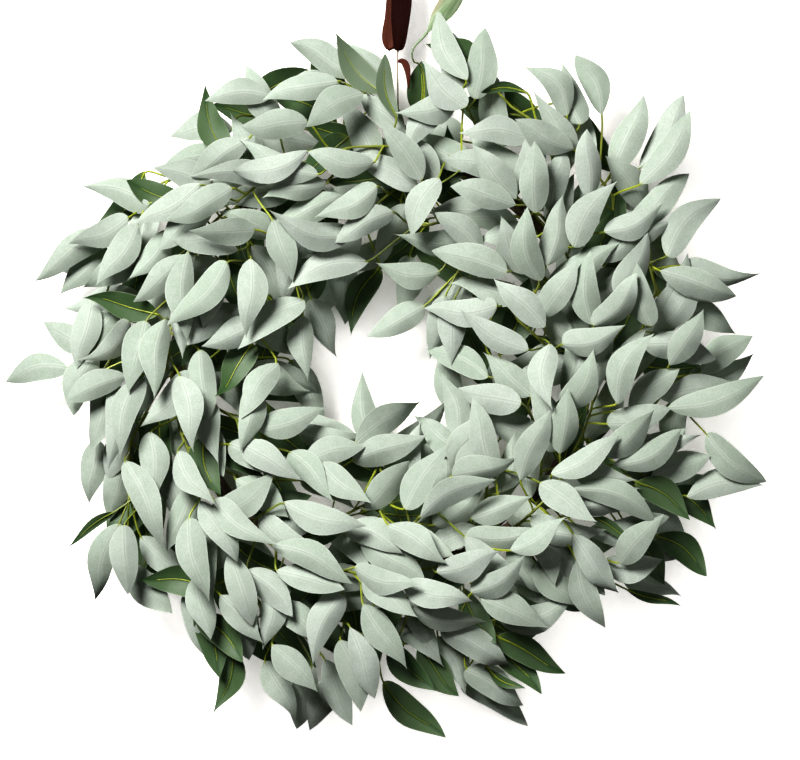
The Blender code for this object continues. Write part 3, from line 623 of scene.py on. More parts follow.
def smooth_path(points, steps):
    """A path through the points by a smooth curve, with so many steps between two of them."""
    path = []
    for i in range(len(points) - 1):
        before = points[max(i - 1, 0)]
        a, b = points[i], points[i + 1]
        after = points[min(i + 2, len(points) - 1)]
        for k in range(steps):
            t = k / steps
            path.append(0.5 * (
                2 * a + (b - before) * t
                + (2 * before - 5 * a + 4 * b - after) * t * t
                + (3 * a - 3 * b + after - before) * t ** 3
            ))
    path.append(points[-1])
    return path


def found_leaves(stems, nodes):
    """Gives each stem the leaves that its node has, and returns the listed ones it hasn't."""
    corners = [(v.co.copy(), name) for name, node in nodes.items() for v in node.data.vertices]
    near = kdtree.KDTree(len(corners))
    for i, (corner, _) in enumerate(corners):
        near.insert(corner, i)
    near.balance()
    by_name = {stem.name: stem for stem in stems}
    skins = {name: BVHTree.FromPolygons(*world_mesh(nodes[name])) for name in by_name}
    missing = []
    for leaf, rng in [*listed_leaves(), *cover_leaves()]:
        for attempt in range(TRIES):
            trial = leaf.moved(rng, attempt / TRIES) if attempt else leaf
            _, i, away = near.find(trial.tip)
            if away < FOUND_WITHIN and corners[i][1] in by_name:
                stem = by_name[corners[i][1]]
                seats = [seat for _, _, _, seat in seats_near(trial, [stem])]
                if not seats:
                    continue
                trial.seat = min(seats, key=lambda seat: off_axis(skins[stem.name], seat, trial.foot))
                stem.used.append(trial.seat)
                stem.leaves.append(trial)
                break
        else:
            missing.append(leaf)
    return missing


def off_axis(skin, seat, foot):
    """How far the line from a seat to a leaf's foot strays from a node's skin."""
    return max(skin.find_nearest(seat.lerp(foot, share))[3] for share in (0.4, 0.55, 0.7))


def world_mesh(node):
    """A node's corners and faces."""
    return [v.co.copy() for v in node.data.vertices], [tuple(p.vertices) for p in node.data.polygons]


def seen_at(point):
    """Where a point shows in the front view."""
    return point.x / PIXEL + HOOK_AT[0], HOOK_AT[1] - point.z / PIXEL


def front_cell(point):
    """The cell of the front view that a point shows in."""
    column, row = seen_at(point)
    return int(column / GRID_STEP), int(row / GRID_STEP)


def cells_of(leaf):
    """The cells of the front view that a blade covers."""
    found = set()
    for i in range(31):
        share = i / 30
        for k in range(-7, 8):
            found.add(front_cell(leaf.point(share, k / 7)))
    return found


def spread(grid, reach):
    """The grid with what is set in it spread by a number of cells each way."""
    wide = grid.copy()
    for shift in range(1, reach + 1):
        wide[shift:] |= grid[:-shift]
        wide[:-shift] |= grid[shift:]
    tall = wide.copy()
    for shift in range(1, reach + 1):
        tall[:, shift:] |= wide[:, :-shift]
        tall[:, :-shift] |= wide[:, shift:]
    return tall


def closed(grid, reach):
    """The grid with its gaps closed up to twice the reach."""
    return ~spread(~spread(grid, reach), reach)


def filling_leaves(stems, nodes, missing):
    """Adds leaves low down where the front view shows gaps that foliage should close."""
    columns, rows = FRONT_SIZE[0] // GRID_STEP, FRONT_SIZE[1] // GRID_STEP
    covered = np.zeros((rows, columns), bool)
    for stem in stems:
        for leaf in stem.leaves:
            mark(covered, cells_of(leaf))
    y, x = np.mgrid[0:rows, 0:columns] * GRID_STEP
    away = np.hypot(x - RING_AT[0], y - RING_AT[1]) * PIXEL
    dense = (away > DENSE_BAND[0]) & (away < DENSE_BAND[1])
    wanted = closed(covered, GAP_REACH) & (away < FILLED_REACH)
    wanted |= closed(covered, DENSE_GAP_REACH) & dense
    barred = np.zeros_like(covered)
    for middle_x, middle_y, wide, tall in KEPT_CLEAR:
        barred |= ((x - middle_x) / wide) ** 2 + ((y - middle_y) / tall) ** 2 < 1
    wanted &= ~barred
    barred &= ~covered
    solid_corners, solid_faces = [], []
    for node in nodes.values():
        corners, faces = world_mesh(node)
        first = len(solid_corners)
        solid_corners += corners
        solid_faces += [tuple(first + c for c in face) for face in faces]
    taken = [BVHTree.FromPolygons(solid_corners, solid_faces)]
    added = 0
    extra_rng, rng = random.Random(77), random.Random(41)
    for leaves, draws, amount in ((extra_leaves(extra_rng), extra_rng, 0.8), (missing, rng, 0.9)):
        for leaf in leaves:
            if settled(leaf, draws, stems, taken, GAP_TRIES, amount):
                mark(covered, cells_of(leaf))
                added += 1
    tried = np.zeros_like(covered)
    while added < MOST_FILLING:
        open_cells = wanted & ~covered & ~tried
        crowd = np.zeros(open_cells.shape)
        for shift in itertools.product(range(-CROWD_REACH, CROWD_REACH + 1, 2), repeat=2):
            crowd += np.roll(open_cells, shift, (0, 1))
        crowd *= open_cells
        if crowd.max() < LEAST_CROWD:
            break
        row, column = np.unravel_index(int(np.argmax(crowd)), crowd.shape)
        top, left = max(row - TRIED_REACH, 0), max(column - TRIED_REACH, 0)
        tried[top:row + TRIED_REACH + 1, left:column + TRIED_REACH + 1] = True
        px, py = column * GRID_STEP, row * GRID_STEP
        for _ in range(GAP_TRIES):
            leaf = filling_leaf(px, py, rng)
            cells = [(c, r) for c, r in cells_of(leaf) if 0 <= c < columns and 0 <= r < rows]
            inside = sum(wanted[r, c] or covered[r, c] for c, r in cells)
            fresh = sum(wanted[r, c] and not covered[r, c] for c, r in cells)
            if inside < LEAST_INSIDE * len(cells) or fresh < LEAST_FRESH * len(cells):
                continue
            if any(barred[r, c] for c, r in cells):
                continue
            if settled(leaf, rng, stems, taken, 1, 0.0):
                mark(covered, cells)
                added += 1
                break


def extra_leaves(rng):
    """The listed leaves near the ribbon, each made when it is asked for."""
    for foot, tip, height, turned in EXTRA_LEAVES:
        yield Leaf(place_mm(*foot, height), place_mm(*tip, height), math.pi if turned else 0.0, rng)


def mark(grid, cells):
    """Sets cells of the grid that lie in it."""
    for column, row in cells:
        if 0 <= row < grid.shape[0] and 0 <= column < grid.shape[1]:
            grid[row, column] = True


def filling_leaf(px, py, rng):
    """A leaf over a place of the front view, low down, along the sweep of its neighbours."""
    spot = place(px + rng.uniform(-8, 8), py + rng.uniform(-8, 8))
    radius = radius_of(spot)
    angle = math.atan2(spot.z - RING_CENTRE.z, spot.x - RING_CENTRE.x)
    lean = math.radians(rng.gauss(OUTSIDE_LEAN if radius > RING_RADIUS else INSIDE_LEAN, LEAN_SPREAD))
    course = angle + math.pi / 2 - lean
    length = LEAF_LENGTH * rng.uniform(0.82, 1.05)
    run = Vector((math.cos(course), 0, math.sin(course))) * length
    turned = rng.random() < FILLING_TURNED
    lowest, highest = FILLING_DEPTH[turned]
    low = max(canopy(radius) - lowest * MM, FILLING_FLOOR)
    high = max(canopy(radius) - highest * MM, low + 6 * MM)
    height = rng.uniform(low, high)
    rise = rng.uniform(-9, 12) * MM
    foot = spot - run * 0.5 + Vector((0, -height + 0.5 * rise, 0))
    tip = spot + run * 0.5 + Vector((0, -height - 0.5 * rise, 0))
    return Leaf(foot, tip, math.radians(rng.gauss(180 if turned else 0, 20)), rng)


def settled(leaf, rng, stems, taken, tries, amount):
    """Whether the leaf finds a lie and a seat clear of everything there, which it then takes."""
    for attempt in range(tries):
        trial = leaf.moved(rng, amount * attempt / tries) if attempt else leaf
        if max(trial.foot.y, trial.tip.y) > -BACK_LIMIT - 2 * MM:
            continue
        blade = tree_of(leaf_mesh(trial, FILLING_CLEARANCE))
        if any(tree.overlap(blade) for tree in taken):
            continue
        for _, _, stem, seat in seats_near(trial, stems):
            start = seat + (trial.foot - seat).normalized() * (STEM_THICK + 0.8 * MM)
            whole = tree_of(leaf_mesh(trial, 0.0, start))
            if any(tree.overlap(whole) for tree in taken):
                continue
            leaf.__dict__.update(trial.__dict__)
            leaf.seat = seat
            stem.used.append(seat)
            stem.leaves.append(leaf)
            taken.append(tree_of(leaf_mesh(leaf, 0.0, start)))
            return True
    return False


def seen_away(point, spot):
    """How many pixels of the front view lie between a point and a spot."""
    column, row = seen_at(point)
    return math.hypot(column - spot[0], row - spot[1])


def nearest_leaf(leaves, tip, foot):
    """The leaf that shows nearest a tip and a foot in the front view, and how far it is away."""
    away = [seen_away(leaf.tip, tip) + seen_away(leaf.foot, foot) for leaf in leaves]
    return leaves[away.index(min(away))], min(away)


def grey_backed(leaves):
    """The leaves that are listed as greyer underneath, made as narrow as listed."""
    found = []
    for tip, foot, width_kept in GREY_BACKED:
        leaf, away = nearest_leaf(leaves, tip, foot)
        if away < NAMED_WITHIN:
            leaf.width *= width_kept
            found.append(leaf)
    return found


def bend_aside(leaves):
    """Gives the leaves that are listed as arched their bend in the front view."""
    for tip, foot, (middle_x, middle_y) in ARCHED:
        leaf, away = nearest_leaf(leaves, tip, foot)
        if away > NAMED_WITHIN:
            continue
        across = leaf.axes()[1]
        run = place(middle_x, middle_y) - (leaf.foot + leaf.tip) / 2
        aside = (run.x * across.x + run.z * across.z) / (across.x ** 2 + across.z ** 2)
        leaf.bow = min(max(aside / leaf.length() / BOW_GAIN, -MOST_ARCHED), MOST_ARCHED)


class Shape:
    """Corners and faces of a piece as they gather, with a place, a tint and a slot for each."""

    def __init__(self):
        self.corners, self.places, self.tints = [], [], []
        self.faces, self.slots = [], []
        self.count = 0

    def add(self, corners, faces, slots, places, tint=0.5):
        """Corners and faces. A place is three numbers, and a fourth for how near it is to a rim."""
        corners = np.asarray(corners, float)
        places = np.asarray(places, float)
        self.corners.append(corners)
        full = np.zeros((len(corners), 4))
        full[:, :places.shape[1]] = places
        self.places.append(full)
        self.tints.append(np.full(len(corners), tint))
        self.faces += [tuple(self.count + c for c in face) for face in faces]
        self.slots += list(slots)
        self.count += len(corners)

    def add_tube(self, path, radii, sides, slots, step=0.0, step_round=0.0, tint=0.5):
        """A tube, its places in even steps along it and round it. Slots are one, or a list."""
        skin = tube(path, radii, sides)
        faces = ring_faces(len(path), sides)
        places = np.zeros_like(skin)
        places[:, 0] = np.repeat(np.arange(len(path)) * step, sides)
        places[:, 1] = np.tile(np.arange(sides) * step_round, len(path))
        self.add(skin, faces, slots if isinstance(slots, list) else [slots] * len(faces), places, tint)

    def made(self, name, materials, sharp=0.9):
        """The piece, smooth but for the edges that are sharper than an angle."""
        mesh = bpy.data.meshes.new(name)
        mesh.from_pydata(np.concatenate(self.corners).tolist(), [], self.faces)
        mesh.polygons.foreach_set("material_index", self.slots)
        places = np.concatenate(self.places)
        for attribute, kind, field, values in (
            ("leaf_place", "FLOAT_VECTOR", "vector", places[:, :3].ravel()),
            ("leaf_rim", "FLOAT", "value", places[:, 3].copy()),
            ("leaf_tint", "FLOAT", "value", np.concatenate(self.tints)),
        ):
            mesh.attributes.new(attribute, kind, "POINT").data.foreach_set(field, values)
        for material in materials:
            mesh.materials.append(material)
        mesh.shade_smooth()
        mesh.set_sharp_from_angle(angle=sharp)
        mesh.update()
        thing = bpy.data.objects.new(name, mesh)
        bpy.context.scene.collection.objects.link(thing)
        return thing


def ring_faces(rings, sides):
    """Faces of a tube of rings of corners, with its ends closed."""
    faces = []
    for i in range(rings - 1):
        for k in range(sides):
            a, b = i * sides + k, i * sides + (k + 1) % sides
            faces.append((a, b, b + sides, a + sides))
    faces.append(tuple(reversed(range(sides))))
    faces.append(tuple(range((rings - 1) * sides, rings * sides)))
    return faces


def tube(path, radii, sides):
    """Corners of a tube along a path, its rings turned as little as can be."""
    path = np.asarray([tuple(p) for p in path], float)
    runs = np.gradient(path, axis=0)
    runs /= np.maximum(np.linalg.norm(runs, axis=1, keepdims=True), 1e-9)
    side = np.cross(runs[0], (0.0, 1.0, 0.0))
    if np.linalg.norm(side) < 0.1:
        side = np.cross(runs[0], (1.0, 0.0, 0.0))
    angles = np.arange(sides) * 2 * math.pi / sides
    rings = []
    for point, run, radius in zip(path, runs, radii):
        side = side - run * side.dot(run)
        side /= np.linalg.norm(side)
        up = np.cross(run, side)
        rings.append(point + radius * (np.outer(np.cos(angles), side) + np.outer(np.sin(angles), up)))
    return np.concatenate(rings)


BLADE_FACES = ring_faces(len(STATIONS), 2 * len(ACROSS))
SIDES_OF = [0] * (len(ACROSS) - 1) + [3] + [1] * (len(ACROSS) - 1) + [3]
BLADE_SLOTS = SIDES_OF * (len(STATIONS) - 1) + [2, 0]


def fine_blade(leaf, rng):
    """A blade with a rounded foot, a groove along its rib, and its own waves, hook and curl."""
    s = np.array(STATIONS)[:, None]
    t = np.array(ACROSS)[None, :]
    along, across, out = (np.array(tuple(v)) for v in leaf.axes())
    length = leaf.length()
    at_foot, at_tip = leaf.taper
    at_foot *= rng.uniform(*FOOT_TAPER)
    at_tip *= rng.uniform(*TIP_TAPER)
    outline = blade_outline(np.clip(s, 1e-6, 1 - 1e-6), at_foot, at_tip)
    half = 0.5 * FINE_WIDTH * leaf.width * outline
    half = np.maximum(half, 0.75 * MM * (1 - s) ** 2 + 0.1 * MM)
    half = half * (1 + rng.uniform(*UNEVEN) * t)
    swell = np.sin(math.pi * s)
    end = np.clip((s - 0.6) / 0.4, 0, 1) ** 2
    fold = leaf.fold * (1 - 0.5 * np.clip((s - 0.5) / 0.5, 0, 1))
    bend = np.sqrt(t * t + 0.012) - math.sqrt(0.012)
    hook = math.copysign(rng.uniform(*HOOK), leaf.bow)
    aside = t * half * np.cos(fold) + BOW_GAIN * leaf.bow * length * swell + hook * length * end
    height = leaf.arch * length * swell - bend * half * np.sin(fold)
    height = height + rng.uniform(*DROOP) * length * end
    height = height + t * half * np.sin(rng.uniform(*TWIST) * (s - 0.35))
    if rng.random() < CURLED_SHARE:
        curl = rng.uniform(*CURL) * rng.choice((-1, 1)) * end
        height = height + t * half * np.sin(curl)
        aside = aside - t * half * (1 - np.cos(curl))
    height = height - rng.uniform(*CUP) * t * t * half
    for side in (-1, 1):
        beat = rng.uniform(*WAVES)
        wave = rng.uniform(*WAVE_HEIGHT) * half * np.sin(2 * math.pi * (beat * s + rng.random()))
        height = height + np.where(t * side > 0, t * t * wave, 0.0)
    groove = GROOVE_DEPTH * np.exp(-(t / 0.09) ** 2) * np.clip(1.25 - 1.4 * s, 0, 1)
    foot = np.array(tuple(leaf.foot))
    skins = []
    for lift in (0.5 * FABRIC_THICK - groove, -0.5 * FABRIC_THICK):
        skin = foot + along * (length * s + 0 * t)[..., None] + across * aside[..., None]
        skins.append(skin + out * (height + lift)[..., None])
    rings = np.concatenate([skins[0], skins[1][:, ::-1]], axis=1)
    shift = CLOTH_SHIFT * rng.random() * 100
    shares = np.stack(np.broadcast_arrays(s, t * half / MM, shift, np.abs(t)), axis=-1)
    both = np.concatenate([shares, shares[:, ::-1]], axis=1)
    underside = skins[1][:, len(ACROSS) // 2]
    return rings.reshape(-1, 3), both.reshape(-1, 4), underside, out


def course_at(stem, seat):
    """The stem's run where a seat is on it."""
    spans = zip(stem.path, stem.path[1:])
    a, b = min(spans, key=lambda span: (0.5 * (span[0] + span[1]) - seat).length)
    return (b - a).normalized()


def bent_stalk(leaf, stem):
    """Points of a leaf's stalk, bent from its stem towards the run of its blade."""
    foot, seat = leaf.foot, leaf.seat
    reach = (foot - seat).length
    along = leaf.axes()[0]
    straight = (foot - seat).normalized()
    leave = (straight + 0.3 * course_at(stem, seat)).normalized()
    a, b = seat + leave * 0.3 * reach, foot - (straight + 0.6 * along).normalized() * 0.2 * reach
    shares = [i / STALK_POINTS for i in range(STALK_POINTS)]
    return [
        (1 - u) ** 3 * seat + 3 * (1 - u) ** 2 * u * a + 3 * (1 - u) * u * u * b + u ** 3 * foot
        for u in shares
    ]


def fine_leaf(shape, leaf, stem, rng, greyed):
    """One leaf in full: blade, rib and stalk."""
    corners, places, underside, out = fine_blade(leaf, rng)
    tint = min(max(rng.gauss(0.5, 0.27), 0.0), 1.0) + (1.0 if greyed else 0.0)
    shape.add(corners, BLADE_FACES, BLADE_SLOTS, places, tint)
    shares = np.linspace(0, RIB_ENDS, RIB_POINTS)
    rib_radii = RIB_THICK[0] + (RIB_THICK[1] - RIB_THICK[0]) * (shares / RIB_ENDS) ** 0.7
    path = [(*point, STALK_THICK) for point in bent_stalk(leaf, stem)]
    for share, radius in zip(shares, rib_radii):
        point = np.array([np.interp(share, STATIONS, underside[:, k]) for k in range(3)])
        path.append((*(point - out * (radius - RIB_SUNK)), radius))
    path = np.array(path)
    path[1:-1] = 0.25 * path[:-2] + 0.5 * path[1:-1] + 0.25 * path[2:]
    shape.add_tube(path[:, :3], path[:, 3], TUBE_SIDES, 2, STALK_STEP, 0.0, tint)


def smoothed(path):
    """A path with its corners cut off."""
    cut = [path[0]]
    for a, b in zip(path, path[1:]):
        cut += [a.lerp(b, 0.25), a.lerp(b, 0.75)]
    return cut + [path[-1]]


def fine_stem(shape, stem):
    """A stem with a swelling where each stalk leaves it."""
    path = []
    for a, b in zip(stem.path, stem.path[1:]):
        path += [a.lerp(b, i / 6) for i in range(6)]
    path = smoothed(path + [stem.path[-1]])
    ends = [min(range(len(path)), key=lambda k: (path[k] - seat).length) for seat in stem.used]
    path = path[:max(ends, default=len(path)) + 2]
    radii = []
    last = len(path) - 1
    for i, point in enumerate(path):
        radius = STEM_THICK * (1.0 - 0.3 * i / last)
        near = min(((point - seat).length for seat in stem.used), default=1.0)
        radii.append(radius * (1 + 0.28 * math.exp(-((near / (1.8 * MM)) ** 2))))
    shape.add_tube(path, radii, STEM_SIDES, 2, STALK_STEP, 0.0, STEM_TINT)


def vine_ring(material):
    """Strands of vine twisted into the ring."""
    shape = Shape()
    rng = random.Random(5)
    for strand, turns in enumerate(VINE_TURNS):
        phase = 2 * math.pi * strand / len(VINE_TURNS)
        wobble = [rng.uniform(0, 2 * math.pi) for _ in range(3)]
        path = []
        radii = []
        for i in range(VINE_POINTS):
            angle = 2 * math.pi * i / VINE_POINTS
            turn = phase + turns * angle
            reach = (3.7 + 0.5 * math.sin(3 * angle + wobble[0])) * MM
            path.append(round_ring(angle, RING_RADIUS + reach * math.cos(turn), reach * math.sin(turn)))
            knots = 0.22 * math.sin(17 * angle + wobble[1]) + 0.15 * math.sin(41 * angle + wobble[2])
            radii.append((2.3 + knots) * MM)
        path.append(path[0])
        radii.append(radii[0])
        shape.add_tube(path, radii, 7, 0, VINE_LENGTH / VINE_POINTS, 2.0, strand / 5)
    return shape.made("vine_ring", [material], 1.2)


def stations_between(stations, steps):
    """Ribbon stations with more between them, by a smooth curve."""
    middles = smooth_path([middle for middle, _ in stations], steps)
    halves = smooth_path([half for _, half in stations], steps)
    return list(zip(middles, halves))


def satin_band(name, stations, folds, depth, materials, flat_half, thick, closed_loop):
    """A strip of satin with lengthwise folds, deeper where it is gathered, glossy on one side."""
    corners = []
    places = []
    run_length = 0.0
    count = len(stations)
    for i, (middle, half) in enumerate(stations):
        before = stations[i - 1 if i or closed_loop else 0][0]
        after = stations[(i + 1) % count if closed_loop else min(i + 1, count - 1)][0]
        run = (after - before).normalized()
        if i:
            run_length += (middle - stations[i - 1][0]).length
        out = run.cross(half.normalized())
        gather = max(0.0, 1 - half.length / flat_half)
        height = depth * (0.12 + 2.6 * gather)
        for k in range(BAND_POINTS):
            t = 2 * k / (BAND_POINTS - 1) - 1
            lift = height * math.sin(folds * math.pi * t + 0.8 + 0.02 * i) * (1 - 0.25 * t * t)
            corners.append(middle + half * t + out * lift)
            places.append((run_length / MM, t * flat_half / MM, 0.0))
    faces = []
    for i in range(count if closed_loop else count - 1):
        for k in range(BAND_POINTS - 1):
            a = i * BAND_POINTS + k
            b = ((i + 1) % count) * BAND_POINTS + k
            faces.append((a, a + 1, b + 1, b))
    shape = Shape()
    shape.add([tuple(c) for c in corners], faces, [0] * len(faces), places)
    strip = shape.made(name, materials, 2.5)
    thicken = strip.modifiers.new("thickness", "SOLIDIFY")
    thicken.thickness = thick
    thicken.offset = 0.0
    thicken.material_offset = 1
    return strip


def satin_loop(materials):
    """The ribbon's loop."""
    front = RIBBON_TOP + FRONT_LOBE + LOBE_NECK
    back = [(-out, *rest) for out, *rest in reversed(RIBBON_TOP + BACK_LOBE)]
    stations = [
        (Vector((aside, -out, -drop)) * MM, Vector((half, 0, 0)) * MM)
        for out, drop, aside, half in (*front, *back)
    ]
    stations = stations_between(stations + stations[:1], 5)[:-1]
    return satin_band("satin_loop", stations, 1.3, 0.45 * MM, materials, 8.2 * MM, 0.5 * MM, True)


def satin_tail(materials):
    """The ribbon's narrow end."""
    forward = WIRE_THICK + 0.5 * RIBBON_THICK + SEAT_GAP
    points = [place(px, py, forward) for px, py in TAIL_SEEN]
    last = len(points) - 1
    stations = []
    for i, point in enumerate(points):
        run = (points[min(i + 1, last)] - points[max(i - 1, 0)]).normalized()
        half = 0.5 * TAIL_WIDTH * (0.2 + 1.05 * math.sin(math.pi * min(i / last + 0.02, 1.0)) ** 0.8)
        stations.append((point, run.cross(Vector((0, 1, 0))) * half))
    stations = stations_between(stations, 5)
    return satin_band("satin_tail", stations, 0.6, 0.3 * MM, materials, 2.6 * MM, 0.4 * MM, False)


def covered_wire(material):
    """The paper-covered wire from the ribbon's foot to the ring."""
    wound = RING_THICK + WIRE_THICK + SEAT_GAP
    angle = math.acos((WIRE_ASIDE - RING_CENTRE.x) / RING_RADIUS)
    pitch = 3 * WIRE_THICK / RING_RADIUS
    knot_height = RIBBON_FOOT + 0.5 * RIBBON_THICK + KNOT_SIZE + WIRE_PLAY
    knot_at = Vector((WIRE_ASIDE, 0.0, knot_height))
    path = [knot_at, knot_at - Vector((0, 0, WIRE_DROP))]
    path.append(round_ring(angle, RING_RADIUS + WIRE_LEAN_TO, wound))
    for i in range(WIRE_STEPS + 1):
        turns = WIRE_TURNS * i / WIRE_STEPS
        turn = -2 * math.pi * turns
        radius = RING_RADIUS + wound * math.sin(turn)
        path.append(round_ring(angle - pitch * turns, radius, wound * math.cos(turn)))
    fine = []
    for a, b in zip(path, path[1:]):
        count = max(1, int((b - a).length / (WRAP_STEP * MM)))
        fine += [a.lerp(b, i / count) for i in range(count)]
    fine.append(path[-1])
    radii = [WIRE_THICK * (1 + 0.1 * (i % 3 == 0)) for i in range(len(fine))]
    shape = Shape()
    shape.add_tube(fine, radii, 8, 0, WRAP_STEP)
    knot = []
    for i in range(KNOT_POINTS):
        u = i / (KNOT_POINTS - 1)
        turn = 2 * math.pi * KNOT_TURNS * u
        round_it = Vector((math.cos(turn), math.sin(turn), 0)) * KNOT_REACH * MM
        knot.append(knot_at + round_it + Vector((0, 0, (u - 0.5) * KNOT_TALL * MM)))
    shape.add_tube(knot, [0.5 * MM] * len(knot), 8, 0)
    return shape.made("covered_wire", [material])


def curled_leaf(blade_material, stalk_material):
    """The pale leaf on its curled stalk."""
    points = [place_mm(*spot) for spot in CURLED_STALK]
    hug = RING_THICK + STALK_THICK + SEAT_GAP
    bound_radius = RING_RADIUS + hug * math.cos(CURLED_SIDE)
    for degrees in CURLED_BINDING:
        points.append(round_ring(math.radians(degrees), bound_radius, hug * math.sin(CURLED_SIDE)))
    path = smooth_path(points, 6)
    radii = [STALK_THICK * (0.8 + 0.9 * math.exp(-i / 9)) for i in range(len(path))]
    shape = Shape()
    pale_faces = TENDRIL_SIDES * PALE_TENDRIL
    all_faces = TENDRIL_SIDES * (len(path) - 1) + 2
    slots = [0] * pale_faces + [1] * (all_faces - pale_faces)
    shape.add_tube(path, radii, TENDRIL_SIDES, slots, 2.5)
    foot, tip = place_mm(*CURLED_FOOT), place_mm(*CURLED_TIP)
    blade = Leaf(foot, tip, CURLED_ROLL, random.Random(3), CURLED_WIDTH)
    blade.taper = CURLED_TAPER
    corners, places, *_ = fine_blade(blade, random.Random(8))
    shape.add(corners, BLADE_FACES, [0] * len(BLADE_FACES), places)
    return shape.made("pale_curled_leaf", [blade_material, stalk_material])


class Nodes:
    """Short ways to build a material's nodes."""

    def __init__(self, name, inputs):
        self.material = bpy.data.materials.new(name)
        self.material.use_nodes = True
        self.tree = self.material.node_tree
        self.shader = self.tree.nodes["Principled BSDF"]
        self.shade(inputs)

    def feed(self, node, inputs):
        """Gives a node's inputs their values, or links them."""
        for name, value in inputs.items():
            if isinstance(value, bpy.types.NodeSocket):
                self.tree.links.new(value, node.inputs[name])
            else:
                node.inputs[name].default_value = value

    def shade(self, inputs):
        """The same for the material's shader."""
        self.feed(self.shader, inputs)

    def node(self, kind, inputs, output=0, **settings):
        """An output of a new node."""
        made = self.tree.nodes.new(kind)
        for name, value in settings.items():
            setattr(made, name, value)
        self.feed(made, inputs)
        return made.outputs[output]

    def where(self):
        """The place on a piece, in millimetres along it and across it."""
        return self.node("ShaderNodeAttribute", {}, "Vector", attribute_name="leaf_place")

    def value(self, name):
        """A number that the corners have."""
        return self.node("ShaderNodeAttribute", {}, "Fac", attribute_name=name)

    def parts(self, vector):
        """A vector's three numbers."""
        return list(self.node("ShaderNodeSeparateXYZ", {0: vector}).node.outputs)

    def math(self, operation, a, b=0.0, clamp=False):
        return self.node("ShaderNodeMath", {0: a, 1: b}, operation=operation, use_clamp=clamp)

    def times(self, a, b):
        return self.math("MULTIPLY", a, b)

    def plus(self, a, b):
        return self.math("ADD", a, b)

    def noise(self, vector, scale, detail=3.0, roughness=0.55):
        inputs = {"Vector": vector, "Scale": scale, "Detail": detail, "Roughness": roughness}
        return self.node("ShaderNodeTexNoise", inputs, "Fac")

    def wave(self, vector, scale, distortion, detail, direction="X"):
        inputs = {"Vector": vector, "Scale": scale, "Distortion": distortion, "Detail": detail}
        return self.node("ShaderNodeTexWave", inputs, "Fac", bands_direction=direction)

    def ramp(self, value, low, high, to_low=0.0, to_high=1.0):
        """A smooth run from to_low to to_high while the value runs from low to high."""
        inputs = {"Value": value, "From Min": low, "From Max": high, "To Min": to_low, "To Max": to_high}
        return self.node("ShaderNodeMapRange", inputs, "Result", interpolation_type="SMOOTHSTEP")

    def mix(self, factor, a, b):
        """A mix of two colours."""
        a, b = ((*colour, 1.0) if isinstance(colour, tuple) else colour for colour in (a, b))
        return self.node("ShaderNodeMix", {0: factor, 6: a, 7: b}, 2, data_type="RGBA")

    def scaled(self, vector, scale):
        return self.node("ShaderNodeVectorMath", {0: vector, 1: scale}, operation="MULTIPLY")

    def bump(self, height, strength, distance):
        inputs = {"Height": height, "Strength": strength, "Distance": distance}
        self.shade({"Normal": self.node("ShaderNodeBump", inputs, "Normal")})


